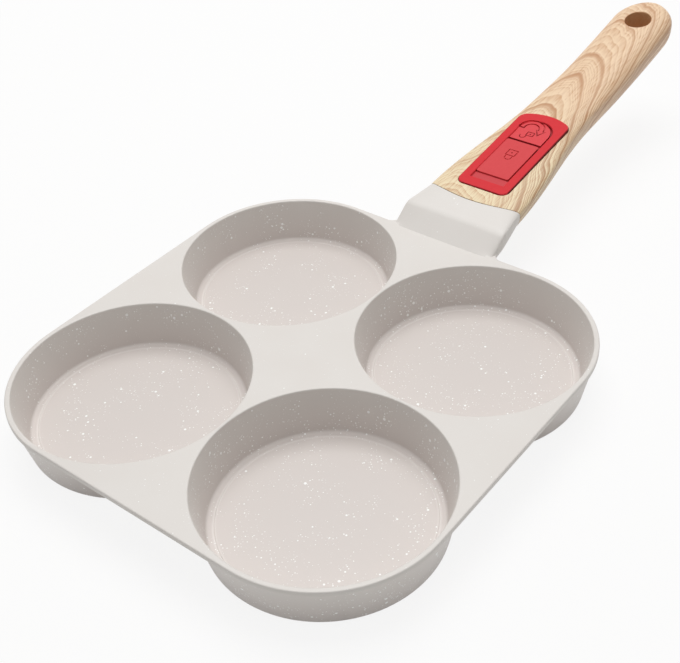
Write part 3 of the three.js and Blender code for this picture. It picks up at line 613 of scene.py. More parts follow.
def cup_inside(x, y):
    floor = PAN_TOP - CUP_DEPTH
    slope = math.tan(DRAFT)
    floor_radius = CUP_RADIUS - CUP_DEPTH * slope
    corner = floor_radius + FLOOR_FILLET * slope - FLOOR_FILLET / math.cos(DRAFT)
    pad_edge = corner - PAD_INSET
    pad = []
    for t in np.linspace(0, 1, 7):
        fall = 0.5 + 0.5 * math.cos(math.pi * t)
        pad.append((pad_edge - 2 * PAD_HEIGHT * (1 - t), floor + PAD_HEIGHT * fall))
    fillet = arc(corner, floor + FLOOR_FILLET, FLOOR_FILLET, -90, -math.degrees(DRAFT), 12)
    rim_centre = CUP_RADIUS + RIM_ROUND * math.tan((math.pi / 2 - DRAFT) / 2)
    rim = arc(rim_centre, PAN_TOP - RIM_ROUND, RIM_ROUND, 180 - math.degrees(DRAFT), 90, 6)
    profile = [*pad, *fillet, *rim, (rim_centre, PAN_TOP + PLATE_THICK)]
    return skin("cup inside", [circle(r, z, ROUND, x, y) for r, z in profile])


print("foot of a cup:", round(2 * outer_wall(FOOT_Z), 1), "mm across")

# %% [markdown]
# Neck and grip share one kind of section, a rounded oblong with a flat crown above its widest line
# and a fuller belly below. It could be drawn as a curve, but powers of a sine and cosine set with
# one number how square each half is. Along the grip, width, depth and roundness ease from one named
# size to the next.

# %% Section of the handle
SECTION_POINTS = 144
SEAM_HALF, SEAM_DEPTH = 23.2, 18.0
WAIST_HALF, WAIST_DEPTH, WAIST_AT = 15.5, 19.4, 82.0
TAIL_HALF, TAIL_DEPTH, TAIL_AT = 15.4, 21.5, 155.0
SEAM_CROWN, TAIL_CROWN = 3.6, 6.0
SEAM_POWER, TAIL_POWER, BELLY_POWER = 3.2, 2.4, 2.15
ROUNDER_FROM, ROUNDER_TO = 66.0, 115.0


def section(half, crown, depth, top_power, bottom_power):
    turn = np.linspace(0, 2 * math.pi, SECTION_POINTS, endpoint=False)
    across, up = np.cos(turn), np.sin(turn)
    power = np.where(up >= 0, top_power, bottom_power)
    height = np.where(up >= 0, crown, depth - crown)
    x = half * np.sign(across) * np.abs(across) ** (2 / power)
    return np.stack([x, height * np.sign(up) * np.abs(up) ** (2 / power) - crown], 1)


def ring_at(y, z, tilt, shape):
    x, rise = section(*shape).T
    return np.stack([x, y - rise * math.sin(tilt), z + rise * math.cos(tilt)], 1)


def ease_down(value, first, last):
    share = min(1, max(0, (value - first) / (last - first)))
    return (1 + math.cos(math.pi * share)) / 2


def grip_shape(y):
    flare = ease_down(y, 0, WAIST_AT)
    swell = 1 - ease_down(y, WAIST_AT, TAIL_AT)
    rounder = 1 - ease_down(y, ROUNDER_FROM, ROUNDER_TO)
    half = WAIST_HALF + (SEAM_HALF - WAIST_HALF) * flare + (TAIL_HALF - WAIST_HALF) * swell
    depth = WAIST_DEPTH + (SEAM_DEPTH - WAIST_DEPTH) * flare + (TAIL_DEPTH - WAIST_DEPTH) * swell
    crown = SEAM_CROWN + (TAIL_CROWN - SEAM_CROWN) * rounder
    return half, crown, depth, SEAM_POWER + (TAIL_POWER - SEAM_POWER) * rounder, BELLY_POWER


print("half width at seam and waist:", grip_shape(0)[0], grip_shape(WAIST_AT)[0])

# %% [markdown]
# The neck climbs from the plate in a short ramp, creases, and runs into the section of the handle.
# It could be a bent box, but one loft keeps its sides smooth from the plate to the seam. The crease
# is soft, so its sections follow a curve that is pulled towards the one at the crease. A round
# cutter then trims the end to the curved seam.

# %% Neck
SEAM_RADIUS, SEAM_SAG, SEAM_GAP, SEAM_SPREAD, SEAM_STEPS = 66.0, 3.0, 0.3, 64, 150
NECK_ROOT, NECK_FOOT, NECK_BASE = 16.0, 1.8, 6.0
RAMP_RUN, RAMP_RISE, RAMP_POWER, ROLL_CROWN = 11.1, 6.8, 5.0, 3.4
RAMP_SHARES = (0.16, 0.3, 0.5)
CREASE_DEPTH, CREASE_CROWN, CREASE_SOFT = 14.0, 2.4, 0.34
NECK_TOP_POWER, NECK_BOTTOM_POWER = 7.0, 3.6
FAR = 400.0


def seam_cutter(ahead, gap):
    reach = SEAM_RADIUS * math.sin(math.radians(SEAM_SPREAD))
    edge = arc(0, SEAM_RADIUS - SEAM_SAG + gap, SEAM_RADIUS, -90 - SEAM_SPREAD, -90 + SEAM_SPREAD,
               SEAM_STEPS)
    far = FAR if ahead else -FAR
    return np.concatenate([edge, [(reach, far), (-reach, far)]])


def neck():
    ramp, top = (RAMP_POWER, NECK_BOTTOM_POWER), (NECK_TOP_POWER, NECK_BOTTOM_POWER)
    foot_y = PLATE_HALF - NECK_FOOT
    root = (NECK_HALF, PLATE_THICK / 4, PLATE_THICK / 2, *ramp)
    foot = (NECK_HALF, PLATE_THICK / 2, NECK_BASE, *ramp)
    rings = [ring_at(PLATE_HALF - NECK_ROOT, PAN_TOP - PLATE_THICK / 4, 0, root),
             ring_at(foot_y, PAN_TOP, 0, foot)]
    for share in RAMP_SHARES:
        crown = ROLL_CROWN + (CREASE_CROWN - ROLL_CROWN) * share
        depth = NECK_BASE + (CREASE_DEPTH - NECK_BASE) * share
        rings.append(ring_at(foot_y + RAMP_RUN * share, PAN_TOP + RAMP_RISE * share, 0,
                             (NECK_HALF, crown, depth, *ramp)))
    crease = ring_at(foot_y + RAMP_RUN, PAN_TOP + RAMP_RISE, HANDLE_TILT / 2,
                     (NECK_HALF, CREASE_CROWN, CREASE_DEPTH, *top))
    seam = ring_at(SEAM_Y, SEAM_Z, HANDLE_TILT, grip_shape(0))
    before = crease + (rings[-1] - crease) * CREASE_SOFT
    after = crease + (seam - crease) * CREASE_SOFT / 2
    for t in np.linspace(0, 1, 9):
        rings.append(before * (1 - t) ** 2 + crease * 2 * t * (1 - t) + after * t ** 2)
    past = SEAM_HALF ** 2 / SEAM_RADIUS
    past_y, past_z = past * math.cos(HANDLE_TILT), past * math.sin(HANDLE_TILT)
    rings += [seam, ring_at(SEAM_Y + past_y, SEAM_Z + past_z, HANDLE_TILT, grip_shape(past))]
    cutter = prism(seam_cutter(True, 0.0), -FAR, FAR)
    cutter.data.transform(HANDLE_ON_PAN)
    return carve(skin("neck", rings), cuts=[cutter])


print("crease of the neck:", round(PAN_TOP + RAMP_RISE, 1), "mm above the hob")

# %% [markdown]
# The tang is the tongue that the grip slides over, a flat bar with broken corners. The nose of the
# latch drops into its window. It is out of sight under the grip, so plain flat faces are enough.

# %% Tang
TANG_HALF, TANG_LENGTH, TANG_THICK, TANG_TOP = 11.0, 28.0, 5.0, -9.6
TANG_CHAMFER, TANG_ROOT = 2.0, 14.0
WINDOW_START, WINDOW_LENGTH, WINDOW_HALF = 15.6, 6.9, 4.6


def tang():
    half, tip, shoulder = TANG_HALF, TANG_HALF - TANG_CHAMFER, TANG_LENGTH - TANG_CHAMFER
    outline = np.array([(-half, -TANG_ROOT), (half, -TANG_ROOT), (half, shoulder),
                        (tip, TANG_LENGTH), (-tip, TANG_LENGTH), (-half, shoulder)])
    tongue = prism(outline, TANG_TOP - TANG_THICK, TANG_TOP)
    window = block((-WINDOW_HALF, WINDOW_START, TANG_TOP - 2 * TANG_THICK),
                   (WINDOW_HALF, WINDOW_START + WINDOW_LENGTH, TANG_TOP + TANG_THICK))
    carve(tongue, cuts=[window])
    tongue.data.transform(HANDLE_ON_PAN)
    return tongue


print("tang:", 2 * TANG_HALF, "by", TANG_LENGTH, "mm")

# %% [markdown]
# Now the casting is put together. The outsides are joined first and the insides cut out after
# that, so no wall is closed again. The recess under each cup takes a steel disc, which lets the
# pan work on an induction hob.

# %% Casting
RECESS_RADIUS = 37.25
RECESS_LOW, RECESS_DEPTH = -5, 0.7

outsides = [cup_outside(x, y) for x, y in CUPS]
casting = carve(plate(), joins=[*outsides, neck(), tang()])
insides = [cup_inside(x, y) for x, y in CUPS]
recesses = [bar(x, y, RECESS_RADIUS, RECESS_LOW, RECESS_DEPTH, ROUND) for x, y in CUPS]
carve(casting, cuts=insides + recesses)
settle(casting, "pan_casting", PAN, coat, "pan", ["pan_body"], sharp=24)

# %% [markdown]
# A base disc is a sheet of steel with rings of holes, stamped out and turned smooth. The holes could
# be drawn with a texture, but their edges catch the light, so they are cut with the exact boolean.
# Each disc is a closed solid with a rolled edge, because it stands for a CAD node of its own.

# %% Base discs
DISC_RADIUS, DISC_THICK, DISC_EDGE = 37.0, 0.6, 0.15
HOLE_RADIUS, HOLE_FACETS = 2.2, 24
HOLE_LOW, HOLE_HIGH = -1, 2
HOLE_RINGS = ((0.0, 1), (13.0, 6), (26.0, 12))
DISC_NODES = ("base_disc_back_left", "base_disc_back_right",
              "base_disc_front_left", "base_disc_front_right")

for node, (x, y) in zip(DISC_NODES, CUPS):
    profile = [(DISC_RADIUS - inset, drop) for inset, drop in reversed(edge_steps(DISC_EDGE, 3))]
    profile.append((DISC_RADIUS, DISC_THICK))
    sheet = skin("disc", [circle(r, z, ROUND, x, y) for r, z in profile])
    holes = []
    for ring_radius, count in HOLE_RINGS:
        for hole_x, hole_y, _ in circle(ring_radius, 0, count, x, y):
            holes.append(bar(hole_x, hole_y, HOLE_RADIUS, HOLE_LOW, HOLE_HIGH, HOLE_FACETS))
    carve(sheet, cuts=holes)
    name = node.replace("base_disc", "steel_disc")
    settle(sheet, name, PAN, disc_steel, "pan", [node])

# %% [markdown]
# The disc is pressed into the cast aluminium, which flows into the holes and shows there as bright
# plugs. The plugs repeat, so a Geometry Nodes tree sets them out: plugs on two circles and the
# centre, and that set on the four cup centres. Two helpers begin and end a tree, with a named input
# for each of its sizes, and with real copies and a finish at its end.

# %% Tree of the plugs
PLUG_GAP = 0.06
PLUG_LOW, PLUG_HIGH = 0.04, 0.76
_, (INNER_RING, INNER_COUNT), (OUTER_RING, OUTER_COUNT) = HOLE_RINGS


def new_tree(name, values):
    tree = bpy.data.node_groups.new(name, "GeometryNodeTree")
    tree.interface.new_socket("Geometry", in_out="OUTPUT", socket_type="NodeSocketGeometry")
    for label, value in values.items():
        kind = "NodeSocketInt" if isinstance(value, int) else "NodeSocketFloat"
        socket = tree.interface.new_socket(label, in_out="INPUT", socket_type=kind)
        socket.default_value = value
    return tree, add(tree, "NodeGroupInput").outputs


def close_tree(tree, shape, finish):
    real = add(tree, "GeometryNodeRealizeInstances", {0: shape})
    dressed = add(tree, "GeometryNodeSetMaterial", {"Geometry": real, "Material": finish})
    add(tree, "NodeGroupOutput", {0: dressed})
    print("tree:", tree.name, "with", len(tree.nodes), "nodes")


plug_values = {"Cup Distance": 2 * CUP_PITCH, "Plug Radius": HOLE_RADIUS - PLUG_GAP,
               "Plug Height": PLUG_HIGH - PLUG_LOW, "Inner Ring": INNER_RING,
               "Inner Count": INNER_COUNT, "Outer Ring": OUTER_RING, "Outer Count": OUTER_COUNT}
plugs_tree, sizes = new_tree("pressed plugs", plug_values)
places = add(plugs_tree, "GeometryNodeJoinGeometry")
inner = add(plugs_tree, "GeometryNodeMeshCircle",
            {"Vertices": sizes["Inner Count"], "Radius": sizes["Inner Ring"]})
outer = add(plugs_tree, "GeometryNodeMeshCircle",
            {"Vertices": sizes["Outer Count"], "Radius": sizes["Outer Ring"]})
middle = add(plugs_tree, "GeometryNodeMeshLine", {"Count": 1})
for ring_of_points in (inner, outer, middle):
    plugs_tree.links.new(ring_of_points.outputs["Mesh"], places.inputs[0])
plug = add(plugs_tree, "GeometryNodeMeshCylinder",
           {"Vertices": HOLE_FACETS, "Radius": sizes["Plug Radius"], "Depth": sizes["Plug Height"]})
one_set = add(plugs_tree, "GeometryNodeInstanceOnPoints",
              {"Points": places, "Instance": plug.outputs["Mesh"]})
cups_grid = add(plugs_tree, "GeometryNodeMeshGrid",
                {"Size X": sizes["Cup Distance"], "Size Y": sizes["Cup Distance"],
                 "Vertices X": 2, "Vertices Y": 2})
all_sets = add(plugs_tree, "GeometryNodeInstanceOnPoints",
               {"Points": cups_grid.outputs["Mesh"], "Instance": one_set})
close_tree(plugs_tree, all_sets, plug_aluminium)

# %% [markdown]
# A tree is grown on an empty host. Its sizes are set on the modifier before it is first evaluated,
# and the result becomes a mesh of its own. The plugs sit a hair inside their holes.

# %% Plugs in the holes
def grow_piece(name, tree, values, matrix, body, nodes=()):
    host = bpy.data.objects.new(name + "_host", bpy.data.meshes.new(name))
    scene.collection.objects.link(host)
    step = host.modifiers.new("tree", "NODES")
    step.node_group = tree
    for socket in tree.interface.items_tree:
        if socket.in_out == "INPUT":
            step[socket.identifier] = values[socket.name]
    scene.view_layers[0].update()
    grown = host.evaluated_get(bpy.context.evaluated_depsgraph_get())
    made = bpy.data.meshes.new_from_object(grown)
    bpy.data.objects.remove(host)
    piece = bpy.data.objects.new(name, made)
    scene.collection.objects.link(piece)
    return settle(piece, name, matrix, made.materials[0], body, nodes)


plug_place = PAN @ Matrix.Translation((0, 0, (PLUG_LOW + PLUG_HIGH) / 2))
grow_piece("pressed_plugs", plugs_tree, plug_values, plug_place, "pan")

# %% [markdown]
# The grip is a long loft of the same section, wide at the seam, slim at the waist and a little
# fuller at the tail, with its top line sweeping up and its end closed in a round nose. A box under
# a Subdivision Surface could give the form, but the loft keeps to named sizes. The rim of the
# hanging hole is broken by a flared cutter that leans with the top line.

# %% Outside of the grip and hanging hole
HANDLE_LENGTH, HANDLE_TIP, TIP_TURN = 173.4, 16.0, 87.3
TIP_WIDTH_POWER, TIP_HEIGHT_POWER = 0.9, 0.3
GRIP_LIFT, LIFT_FROM = 4.0, 60.0
GRIP_RINGS, TIP_RINGS, HANG_FACETS = 130, 29, 96
FLARE_REACH = 3.0


def grip_top(y):
    return GRIP_LIFT * (max(0.0, y - LIFT_FROM) / (TAIL_AT - LIFT_FROM)) ** 2


def grip_outside():
    tip_start = HANDLE_LENGTH - HANDLE_TIP
    along = np.linspace(-2 * SEAM_SAG, tip_start, GRIP_RINGS)
    rings = [ring_at(y, grip_top(y), 0, grip_shape(y)) for y in along]
    half, crown, depth, top_power, bottom_power = grip_shape(tip_start)
    for angle in np.radians(np.linspace(0, TIP_TURN, TIP_RINGS))[1:]:
        y = tip_start + HANDLE_TIP * math.sin(angle)
        narrow = half * math.cos(angle) ** TIP_WIDTH_POWER
        keep = math.cos(angle) ** TIP_HEIGHT_POWER
        lost = crown * (1 - keep)
        shape = (narrow, crown * keep, depth - 2 * lost, top_power, bottom_power)
        rings.append(ring_at(y, grip_top(y) - lost, 0, shape))
    return skin("grip", rings)


def hanging_hole():
    top_slope = (grip_top(HOLE_AT + 1) - grip_top(HOLE_AT - 1)) / 2
    top, belly = grip_top(HOLE_AT), grip_top(HOLE_AT) - grip_shape(HOLE_AT)[2]
    rings = []
    for level, sign in ((belly, -1), (top, 1)):
        flare = [(HANG_RADIUS + HANG_EDGE, level + sign * FLARE_REACH)]
        for _, drop in edge_steps(HANG_EDGE):
            flare.append((HANG_RADIUS + drop, level - sign * (HANG_EDGE - drop)))
        for radius, z in flare if sign < 0 else flare[::-1]:
            ring = circle(radius, z, HANG_FACETS, 0, HOLE_AT)
            ring[:, 2] += top_slope * (ring[:, 1] - HOLE_AT)
            rings.append(ring)
    return skin("hanging hole", rings)


print("top line at the hanging hole:", round(grip_top(HOLE_AT), 2), "mm up")

# %% [markdown]
# The seat of the bezel, the socket of the tang, the pocket of the lock and the holes for screw,
# pin and spring are cut out of the grip. Each cutter is its piece, grown by a clearance, so the
# grip fits what goes into it.

# %% Grip with its seats and pockets
BEZEL_START, BEZEL_END, BEZEL_HALF = 5.7, 66.5, 13.0
BEZEL_NEAR, BEZEL_FAR, BEZEL_BOW = 4.0, 5.0, 24.0
BEZEL_TOP, BEZEL_UNDER, FIT, RUN = 0.5, -1.9, 0.3, 0.3
LATCH_AT, LATCH_DROP, PIN_RADIUS, PIN_SEAT = 47.0, 8.0, 1.5, 2.0
POCKET_HALF, POCKET_GAP, POCKET_FLOOR = 7.4, 0.8, -12.3
POCKET_START, POCKET_END = 15.4, 56.2
BOSS_AT, BOSS_RADIUS, BOSS_LENGTH = 60.9, 2.7, 5.0
SCREW_RADIUS, HEAD_RADIUS, HEAD_HEIGHT, HEAD_SUNK = 1.2, 2.8, 2.0, 3.0
SPRING_AT, SPRING_RADIUS, SPRING_WIRE, SPRING_TOP, SPRING_LENGTH = 52.5, 2.1, 0.6, -9.3, 6.2
TONGUE_LENGTH, TONGUE_HALF, TONGUE_THICK = 2.0, 6.0, 1.4
SCREW_SEAT = HEAD_SUNK + HEAD_HEIGHT - grip_shape(BOSS_AT)[2]


def bezel_outline(grow):
    bow_y = BEZEL_END - BEZEL_BOW
    near_x, far_x = BEZEL_HALF - BEZEL_NEAR, BEZEL_HALF - BEZEL_FAR
    near_y = BEZEL_START + BEZEL_NEAR
    spread = math.asin(far_x / (BEZEL_BOW - BEZEL_FAR))
    far_y = bow_y + (BEZEL_BOW - BEZEL_FAR) * math.cos(spread)
    first, last = 90 - math.degrees(spread), 90 + math.degrees(spread)
    return np.concatenate([
        arc(far_x, far_y, BEZEL_FAR + grow, 0, first, 12),
        arc(0, bow_y, BEZEL_BOW + grow, first, last, 24)[1:-1],
        arc(-far_x, far_y, BEZEL_FAR + grow, last, 180, 12),
        arc(-near_x, near_y, BEZEL_NEAR + grow, 180, 270, 12),
        arc(near_x, near_y, BEZEL_NEAR + grow, 270, 360, 12),
    ])


pin_slot = PIN_RADIUS + RUN
pin_reach = POCKET_HALF + PIN_SEAT + RUN
tang_socket = TANG_HALF + FIT
spring_bore = SPRING_RADIUS + SPRING_WIRE + RUN
cutters = [
    prism(seam_cutter(False, SEAM_GAP)[::-1], -FAR, FAR),
    prism(bezel_outline(FIT), BEZEL_UNDER - RUN, FAR),
    block((-tang_socket, -SEAM_RADIUS, TANG_TOP - TANG_THICK - FIT),
          (tang_socket, TANG_LENGTH + FIT, TANG_TOP + FIT)),
    block((-POCKET_HALF, POCKET_START, TANG_TOP), (POCKET_HALF, TANG_LENGTH + POCKET_GAP, FAR)),
    block((-POCKET_HALF, TANG_LENGTH, POCKET_FLOOR), (POCKET_HALF, POCKET_END, FAR)),
    block((-pin_reach, LATCH_AT - pin_slot, -LATCH_DROP - pin_slot),
          (pin_reach, LATCH_AT + pin_slot, FAR)),
    block((-TONGUE_HALF - RUN, BEZEL_START - TONGUE_LENGTH - RUN, BEZEL_UNDER - TONGUE_THICK - RUN),
          (TONGUE_HALF + RUN, BEZEL_START + TONGUE_LENGTH, BEZEL_UNDER + RUN)),
    bar(0, BOSS_AT, BOSS_RADIUS + RUN, BEZEL_UNDER - BOSS_LENGTH - RUN, FAR),
    bar(0, BOSS_AT, SCREW_RADIUS + RUN, -FAR, FAR),
    bar(0, BOSS_AT, HEAD_RADIUS + RUN, -FAR, SCREW_SEAT),
    bar(0, SPRING_AT, spring_bore, SPRING_TOP - SPRING_LENGTH - RUN, FAR),
    hanging_hole(),
]
grip = carve(grip_outside(), cuts=cutters)
settle(grip, "wood_grain_grip", HANDLE, wood, "pan", ["handle_grip"], sharp=32)

# %% [markdown]
# Signs on the lock are moulded in, so they are cut here as geometry and not painted: a curved
# arrow with a moat round it, and padlocks drawn in lines. A line is a path given a width.

# %% Signs of the lock
LINE, LINE_DEPTH = 0.42, 0.5
KEYHOLE = 0.42
ARROW_X, ARROW_Y, ARROW_RADIUS, ARROW_BAND = -2.6, 54.3, 4.9, 1.7
ARROW_HEAD_HALF, ARROW_HEAD_BACK, ARROW_HEAD_TIP, ARROW_TIP_GROWS = 1.9, 0.2, 2.6, 1.6
ARROW_MOAT, MOAT_DEPTH = 0.75, 0.7


def line(points):
    points = np.array(points, float)
    way = np.gradient(points, axis=0)
    way /= np.linalg.norm(way, axis=1)[:, None]
    side = np.stack([-way[:, 1], way[:, 0]], 1) * LINE / 2
    return np.concatenate([points + side, (points - side)[::-1]])


def padlock(x, y, half, height, shackle):
    low, high = y, y + height
    grow = LINE / 2
    strokes = [line([(x - half - grow, level), (x + half + grow, level)]) for level in (low, high)]
    strokes += [line([(x + hand * half, low), (x + hand * half, high)]) for hand in (-1, 1)]
    keyhole = circle(KEYHOLE, 0, 12, x, (low + high) / 2)[:, :2]
    return [*strokes, keyhole, line(shackle)]


def arrow(grow=0.0):
    outer = arc(ARROW_X, ARROW_Y, ARROW_RADIUS + ARROW_BAND / 2 + grow, 0, 180, 32)
    inner = arc(ARROW_X, ARROW_Y, ARROW_RADIUS - ARROW_BAND / 2 - grow, 180, 0, 32)
    end = inner[0] - (0, grow), outer[-1] - (0, grow)
    head_x, head_y = ARROW_X + ARROW_RADIUS, ARROW_Y + ARROW_HEAD_BACK + grow
    head = [(head_x - ARROW_HEAD_HALF - grow, head_y),
            (head_x, ARROW_Y - ARROW_HEAD_TIP - ARROW_TIP_GROWS * grow),
            (head_x + ARROW_HEAD_HALF + grow, head_y)]
    return np.concatenate([outer, [end[1], end[0]], inner, head])


print("arrow outline:", len(arrow()), "points")

# %% [markdown]
# The bezel is a red frame let into the grip. Its track is square near the pan and arched at the
# far end, where a raised island slopes up to the frame, with a gutter along its right side.
# The curved arrow and a small open padlock lie on the island. All of this could be built up from
# strips, but cutting it from the top leaves no seams, so first the cutters of the track are made.

# %% Track of the bezel
TRACK_START, TRACK_END, TRACK_HALF, TRACK_FLOOR = 11.4, 60.8, 8.7, -0.9
TRACK_EDGE = 0.2
STEM_AT, STEM_LENGTH, STEM_HALF, TRAVEL, SLIDE_FIT = 30.4, 6.0, 2.5, 7.0, 0.4
ISLAND_START, ISLAND_BEND, ISLAND_TOP, ISLAND_SLOPE = 44.9, 50.7, -0.1, math.radians(3.0)
GUTTER = (1.0, 0.6)
STRIP_END, STRIP_FLOOR = 16.0, -0.4
OVER, OVERLAP, SLOT_REACH = 5, 1, 20


def track_outline(grow=0.0):
    half = TRACK_HALF + grow
    springing = TRACK_END - TRACK_HALF
    arch = arc(0, springing, half, 0, 180, 48)
    return np.concatenate([[(-half, TRACK_START - grow), (half, TRACK_START - grow)], arch])


def arch_from(y):
    return np.concatenate([[(-TRACK_HALF, y), (TRACK_HALF, y)], track_outline()[2:]])


def on_slope(cutter):
    pivot = Vector((0, ISLAND_BEND, ISLAND_TOP))
    turn = Matrix.Rotation(ISLAND_SLOPE, 4, "X")
    cutter.data.transform(Matrix.Translation(pivot) @ turn @ Matrix.Translation(-pivot))
    return cutter


brim = []
for drop in np.linspace(0, TRACK_EDGE, 4):
    brim.append(at_height(track_outline(drop), BEZEL_TOP - TRACK_EDGE + drop))
brim.append(at_height(track_outline(TRACK_EDGE), BEZEL_TOP + OVER))
gutter = prism(arch_from(ISLAND_START), TRACK_FLOOR, OVER)
carve(gutter, cuts=[prism(track_outline() - GUTTER, -OVER, OVER + OVERLAP)])
track = [
    skin("brim", brim),
    gutter,
    on_slope(prism(arch_from(ISLAND_BEND), ISLAND_TOP, OVER)),
    block((-TRACK_HALF, TRACK_START, STRIP_FLOOR), (TRACK_HALF, STRIP_END + OVERLAP, OVER)),
    block((-TRACK_HALF, STRIP_END, TRACK_FLOOR), (TRACK_HALF, ISLAND_START, OVER)),
    block((-TRACK_HALF, ISLAND_START - OVERLAP, ISLAND_TOP), (TRACK_HALF, ISLAND_BEND, OVER)),
]
slot_half, slot_half_length = STEM_HALF + SLIDE_FIT, STEM_LENGTH / 2 + SLIDE_FIT
stem_slot = block((-slot_half, STEM_AT - slot_half_length, -SLOT_REACH),
                  (slot_half, STEM_AT + TRAVEL + slot_half_length, SLOT_REACH))
print("track:", len(track), "cutters and a slot for a travel of", TRAVEL, "mm")

# %% [markdown]
# The bezel itself is a low puck with a broken top edge, from which track, slot and signs are cut.
# Under it sit the parts that hold it: a tongue that hooks under the grip, a boss for the screw,
# and two posts that keep the pin of the latch down in its slots.

# %% Bezel
BEZEL_EDGE = 0.5
OPEN_X, OPEN_Y, OPEN_HALF, OPEN_HEIGHT = -1.0, 49.4, 1.7, 2.6
HOOK_X, HOOK_Y, HOOK_RADIUS, HOOK_FOOT = -3.75, 48.3, 1.4, -2.3
HOOK_IN, HOOK_OUT = 0.1, 0.6
POST_COVER, TONGUE_WELD, BOSS_COVER = 0.7, 0.02, 0.6


def puck(name, outline, low, high, edge):
    rings = [at_height(outline(0.0), low)]
    rings += [at_height(outline(-inset), high - drop) for inset, drop in edge_steps(edge)]
    return skin(name, rings)


moat = prism(arrow(ARROW_MOAT), ISLAND_TOP - MOAT_DEPTH, OVER)
carve(moat, cuts=[prism(arrow(), -OVER, OVER + OVERLAP)])
open_hook = [(HOOK_FOOT, OPEN_Y), (HOOK_X + HOOK_RADIUS, HOOK_Y + HOOK_IN),
             *arc(HOOK_X, HOOK_Y, HOOK_RADIUS, 0, -180, 16),
             (HOOK_X - HOOK_RADIUS, HOOK_Y + HOOK_OUT)]
open_lock = padlock(OPEN_X, OPEN_Y, OPEN_HALF, OPEN_HEIGHT, open_hook)
signs = [prism(stroke, ISLAND_TOP - LINE_DEPTH, OVER) for stroke in open_lock]
bezel = puck("bezel", bezel_outline, BEZEL_UNDER, BEZEL_TOP, BEZEL_EDGE)
carve(bezel, cuts=[*track, stem_slot, *signs, on_slope(moat)])

post_low = -LATCH_DROP + PIN_RADIUS + RUN
posts = []
for post_left in (-POCKET_HALF - PIN_SEAT, POCKET_HALF + RUN):
    post_right = post_left + PIN_SEAT - RUN
    posts.append(block((post_left, LATCH_AT - PIN_RADIUS, post_low),
                       (post_right, LATCH_AT + PIN_RADIUS, BEZEL_UNDER + POST_COVER)))
tongue = block((-TONGUE_HALF, BEZEL_START - TONGUE_LENGTH, BEZEL_UNDER - TONGUE_THICK),
               (TONGUE_HALF, BEZEL_START + TONGUE_LENGTH, BEZEL_UNDER + TONGUE_WELD))
boss = bar(0, BOSS_AT, BOSS_RADIUS, BEZEL_UNDER - BOSS_LENGTH, TRACK_FLOOR - BOSS_COVER)
screw_hole = bar(0, BOSS_AT, SCREW_RADIUS + RUN / 2, -FAR, BEZEL_UNDER)
carve(bezel, joins=[*posts, tongue, boss], cuts=[screw_hole])
settle(bezel, "red_bezel", HANDLE, bezel_red, "pan", ["lock_bezel"])

# %% [markdown]
# The slide is a thin plate in the track with a stem through the slot. It is a piece apart from the
# bezel, because it rides on its own body and moves when the lock is worked. A closed padlock is cut
# into its face, upright for the hand on the handle. Its far end is thinner, because it passes over
# the island.

# %% Slide
SLIDE_START, SLIDE_END, SLIDE_THICK, SLIDE_EDGE, SLIDE_CORNER = 16.2, 43.3, 0.9, 0.18, 1.0
SLIDE_PLAY = 0.33
THIN_FROM, THIN_UNDER = 37.4, -0.04
LOCK_X, LOCK_Y, LOCK_HALF, LOCK_HEIGHT, SHACKLE = -0.5, 32.3, 2.25, 4.0, 1.6
CAM_TOP, STEM_WELD, STEM_BORE = -2.2, 0.2, 0.95
SLIDE_HALF = TRACK_HALF - SLIDE_FIT
SLIDE_LOW = TRACK_FLOOR + RUN
STEM_LOW = CAM_TOP + RUN


def slide_outline(grow):
    return rounded_plate(SLIDE_START, SLIDE_END, SLIDE_HALF, SLIDE_CORNER, grow)


slide = puck("slide", slide_outline, SLIDE_LOW, SLIDE_LOW + SLIDE_THICK, SLIDE_EDGE)
hoop = arc(LOCK_X, LOCK_Y - SHACKLE, SHACKLE, 180, 360, 20)
shackle = [(LOCK_X - SHACKLE, LOCK_Y), *hoop, (LOCK_X + SHACKLE, LOCK_Y)]
closed_lock = padlock(LOCK_X, LOCK_Y, LOCK_HALF, LOCK_HEIGHT, shackle)
face_low = SLIDE_LOW + SLIDE_THICK - LINE_DEPTH
face_signs = [prism(stroke, face_low, OVER) for stroke in closed_lock]
stem = block((-STEM_HALF, STEM_AT - STEM_LENGTH / 2, STEM_LOW),
             (STEM_HALF, STEM_AT + STEM_LENGTH / 2, SLIDE_LOW + STEM_WELD))
thin = block((-SLIDE_HALF - OVERLAP, THIN_FROM, -OVER),
             (SLIDE_HALF + OVERLAP, SLIDE_END + OVERLAP, THIN_UNDER))
stem_bore = bar(0, STEM_AT, STEM_BORE, -SLOT_REACH, SLIDE_LOW)
carve(slide, joins=[stem], cuts=[*face_signs, thin, stem_bore])
slide.data.transform(Matrix.Translation((-SLIDE_PLAY, 0, 0)))
settle(slide, "thumb_slide_plate", HANDLE, slide_red, "thumb_slide", ["lock_slider"])

# %% [markdown]
# The screw that holds the bezel can be seen in its hole under the grip. A screw is round, so it is
# a stack of circles, with a domed head and a cross recess for the driver. Its thread is out of
# sight in the boss and is left off.

# %% Screw under the grip
DOME, DOME_WIDE, DOME_HIGH = 0.5, 1.6, 1.2
SCREW_TIP, SCREW_FACETS = 0.5, 48
CROSS_LONG, CROSS_WIDE, CROSS_DEPTH = 1.5, 0.35, 1.2

